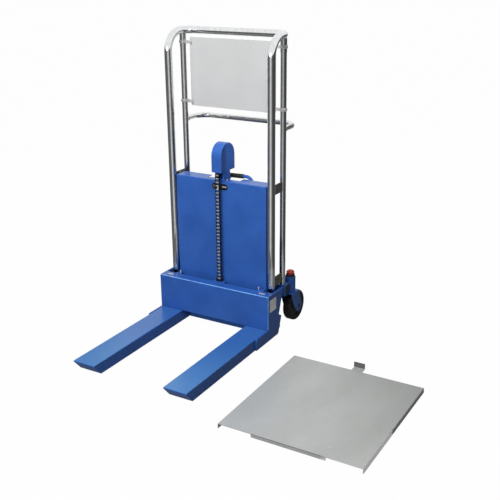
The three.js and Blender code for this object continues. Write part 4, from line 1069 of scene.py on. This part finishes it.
pedal = {"hub": ((5.3, -5), (11, -5)), "half": 5, "bore": (5.3, -9, 9),
         "arm": ((262, 166), (296, 166), (332, 186), (332, 188), (290, 184), (262, 184)),
         "bump": (6, -5, 5, (0, 290, 164)), "pad": (48, 328, 379, 186, 190.5), "padCorner": 9,
         "rib": ((332, 178), (332, 187), (372, 187)), "ribHalf": 2,
         "weld": ((-6, 329, 185.5), (6, 329, 185.5), 1.8),
         "tread": (45, 331, 376, 190.5, 192.7), "treadCorner": 7,
         "ridge": (39, 335, 338, 191.5, 194), "ridges": 7, "ridgeStep": 5.6}
pedalSpot = (0, pedalY, pedalZ)
arm = carve(prismX(pedal["arm"], -pedal["half"], pedal["half"]),
            stub(*pedal["bore"], pedalSpot, steps=28))
pad = roundOff(wide(*pedal["pad"]), edgesAlong("Z"), pedal["padCorner"], 5)
dress(joined(turned(balanced(pedal["hub"]), pedalSpot, "X", 28), soften(arm, 1),
             stub(*pedal["bump"], steps=24), soften(pad),
             soften(prismX(pedal["rib"], -pedal["ribHalf"], pedal["ribHalf"]), 0.6),
             weldBead(*pedal["weld"])), "footPedal", "pedal", bluePaint, "foot_pedal")
tread = roundOff(wide(*pedal["tread"]), edgesAlong("Z"), pedal["treadCorner"], 4)
ridge = repeated(soften(wide(*pedal["ridge"]), 0.5), pedal["ridges"], (0, pedal["ridgeStep"], 0))
dress(joined(soften(tread, 0.6), ridge), "pedalTread", "pedal", blackRubber)

# Lowering lever, its grip and its cable

lever = {"x": 119, "y": 178, "pivot": 232, "radius": 8,
         "hub": ((5.3, -8.5), (11, -8.5), (12, -7.5)), "top": 723, "bend": 34,
         "end": (-3.946, 178, 718.707), "foot": 242, "weldZ": 243.6, "bead": 1.4,
         "gripRadius": 10.5, "groove": 9.6, "ribStarts": (6, 62, 7), "rib": (4.2, 4.8, 6.4),
         "gripFoot": [(0, -4), (6.5, -4), (8.8, -3), (9.9, -1.2), (10.2, 2)],
         "gripEnd": [(10.5, 63), (10.5, 75), (9.9, 76), (8.3, 76), (8.3, 0.3), (0, 0.3)],
         "tilt": 2}
leverX, leverY, pivot = lever["x"], lever["y"], lever["pivot"]
leverHub = turned(balanced(lever["hub"]), (leverX, leverY, pivot), "X", 28)
leverRod = bentTube([(leverX, leverY, lever["foot"]), (leverX, leverY, lever["top"]), lever["end"]],
                    [lever["bend"]], lever["radius"])
hubWeld = weldRing((leverX, leverY, lever["weldZ"]), "Z", lever["radius"], lever["bead"])
dress(joined(leverHub, leverRod, hubWeld), "loweringLever", "lever", bluePaint, "lowering_lever")
ribs, gripRadius, groove = [], lever["gripRadius"], lever["groove"]
ribEnd, grooveStart, grooveEnd = lever["rib"]
for start in range(*lever["ribStarts"]):
    ribs += [(gripRadius, start), (gripRadius, start + ribEnd), (groove, start + grooveStart),
             (groove, start + grooveEnd)]
grip = turned(lever["gripFoot"] + ribs + lever["gripEnd"], lever["end"], "X", 32)
grip.data.transform(turnAbout(lever["end"], "Y", -lever["tilt"]))
dress(grip, "leverGrip", "lever", blackRubber, "lever_grip")

cable = {"path": ((130.8, 172, 219.7), (130.8, 172, 200), (26, 165, 139), (26, 165, 120.3)),
         "bends": (20, 20), "radius": 2.5, "sides": 12}
dress(bentTube(cable["path"], cable["bends"], cable["radius"], cable["sides"]), "releaseCable",
      "chassis", blackRubber, "release_cable")
print("pump, pedal and lever ready")

# Casters: column, fork, axle, wheel and brake

caster = {"x": 270, "y": 270, "trail": 37, "wheel": 75, "cheekIn": 26.5, "cheekOut": 30.1,
          "front": 233, "back": 306, "crownTop": 159.7, "crownLow": 153.7, "foot": 31,
          "column": ((12.3, 160), (24, 160), (25, 161), (25, 229), (24.2, 229.6), (24.2, 230.4),
                     (25, 231), (25, 234.8), (23.8, 236), (12.3, 236)),
          "cheekFront": [(233, 156.7), (233, 140), (257, 86)],
          "cheekBack": [(319, 124), (313, 147), (306, 156.7)], "edge": 1.1,
          "stem": ((4.3, 153.7), (12, 153.7), (12, 235), (11, 235.7), (4.3, 235.7)),
          "nut": ((0, 0), (9, 0), (8, 1.4), (0, 1.4)), "axle": 6,
          "tyre": ((54, -19), (56, -21.2), (66, -22.5), (71, -20.5), (74, -17), (75, -12)),
          "rim": ((6.3, -24), (16, -24), (18, -22), (18, -14), (24, -10), (46, -10), (51, -14),
                  (52, -19), (54.5, -19.5))}
casterX, cheekIn, cheekOut = caster["x"], caster["cheekIn"], caster["cheekOut"]
steerSpot = (casterX, caster["y"], 0)
axleY, wheelHeight = caster["y"] + caster["trail"], caster["wheel"]
axleSpot = (casterX, axleY, wheelHeight)
dressPair(turned(caster["column"], steerSpot), "CasterColumn", "chassis", bluePaint,
          "caster_column")
crown = soften(box((casterX - cheekOut, caster["front"], caster["crownLow"]),
                   (casterX + cheekOut, caster["back"], caster["crownTop"])), 4, 5)
cheekShape = (caster["cheekFront"] + arc(axleY, wheelHeight, caster["foot"], 215, 380, 14)
              + caster["cheekBack"])
cheeks = [soften(prismX(cheekShape, casterX + a, casterX + b), caster["edge"])
          for a, b in ((-cheekOut, -cheekIn), (cheekIn, cheekOut))]
dressPair(joined(crown, *cheeks, turned(caster["stem"], steerSpot, steps=28)), "CasterFork",
          "caster", bluePaint, "caster_fork")
axleParts = [turned(caster["nut"], (casterX + cheekOut, axleY, wheelHeight), "X", 6, 20),
             hexBolt(casterX - cheekOut, axleY, wheelHeight, 13, 6, "X", -1),
             stub(caster["axle"], -cheekIn, cheekIn, axleSpot, steps=20)]
dressPair(joined(*axleParts), "CasterAxle", "caster", blackSteel)
tyre = turned(balanced(caster["tyre"]), axleSpot, "X", 56, 30)
rim = turned(balanced(caster["rim"]), axleSpot, "X", 48, 30)
dressPair(tyre, "Tyre", "wheel", tyreRubber, "caster_wheel")
dressPair(rim, "WheelRim", "wheel", darkNylon)

brake = {"cup": ((4.3, 236.3), (20.2, 236.3), (21, 237.1), (21, 246.4), (20.2, 247.3),
                 (18.2, 247.3), (17.5, 246.6), (17.5, 239.3), (4.3, 239.3)),
         "knob": [(0, 150.65), (4, 150.65), (4, 247.6), (16.9, 247.6), (16.9, 255.6),
                  (18.9, 255.6)],
         "dome": (19.5, 12, 255.6), "domeTurns": (3, 12, 25, 40, 56, 72)}
dressPair(turned(brake["cup"], steerSpot, steps=36), "BrakeCup", "chassis", blackRubber,
          "brake_cup")
domeWidth, domeRise, domeFoot = brake["dome"]
dome = [(domeWidth * cos(radians(turn)), domeFoot + domeRise * sin(radians(turn)))
        for turn in brake["domeTurns"]]
knob = turned([*brake["knob"], *dome, (0, domeFoot + domeRise)], steerSpot, steps=36)
dressPair(knob, "BrakeKnob", "brake", redPlastic, "brake_knob")
print("casters ready")

# Loose platform: a folded sheet with a lip in front and a hooked tongue behind

plate = {"low": (472, -714, 0), "high": (1064, -80, 21), "sheet": 2.5, "bend": 3,
         "lip": ((616, -714, 5), (920, -711.5, 20.7)), "lipEdge": 0.6,
         "tongue": ((-86, 18.5), (-47, 18.5), (-47, 46), (-49.5, 46), (-49.5, 20.9), (-86, 20.9)),
         "tongueX": (743, 793)}
deckZ = plate["high"][2]
deck = evenOut(folded(box(plate["low"], plate["high"]), "bottom front back",
                      lambda a, b: edgesAlong("Y")(a, b) and a.z > deckZ - 1,
                      plate["bend"], 4, plate["sheet"]))
lip = soften(box(*plate["lip"]), plate["lipEdge"])
tongue = soften(prismX(plate["tongue"], *plate["tongueX"]))
platform = dress(joined(deck, lip, tongue), "loosePlatform", "platform", platformSteel, "platform")
# The tongue's upright faces towards the front take the dark grey, a painted dark reflection
secondFinish(platform, hookShadePaint,
             lambda face: face.center.z > (deckZ + 2) * mm and face.normal.y < -0.7)
print("platform ready")

print("pieces made:", len(piecesMade))
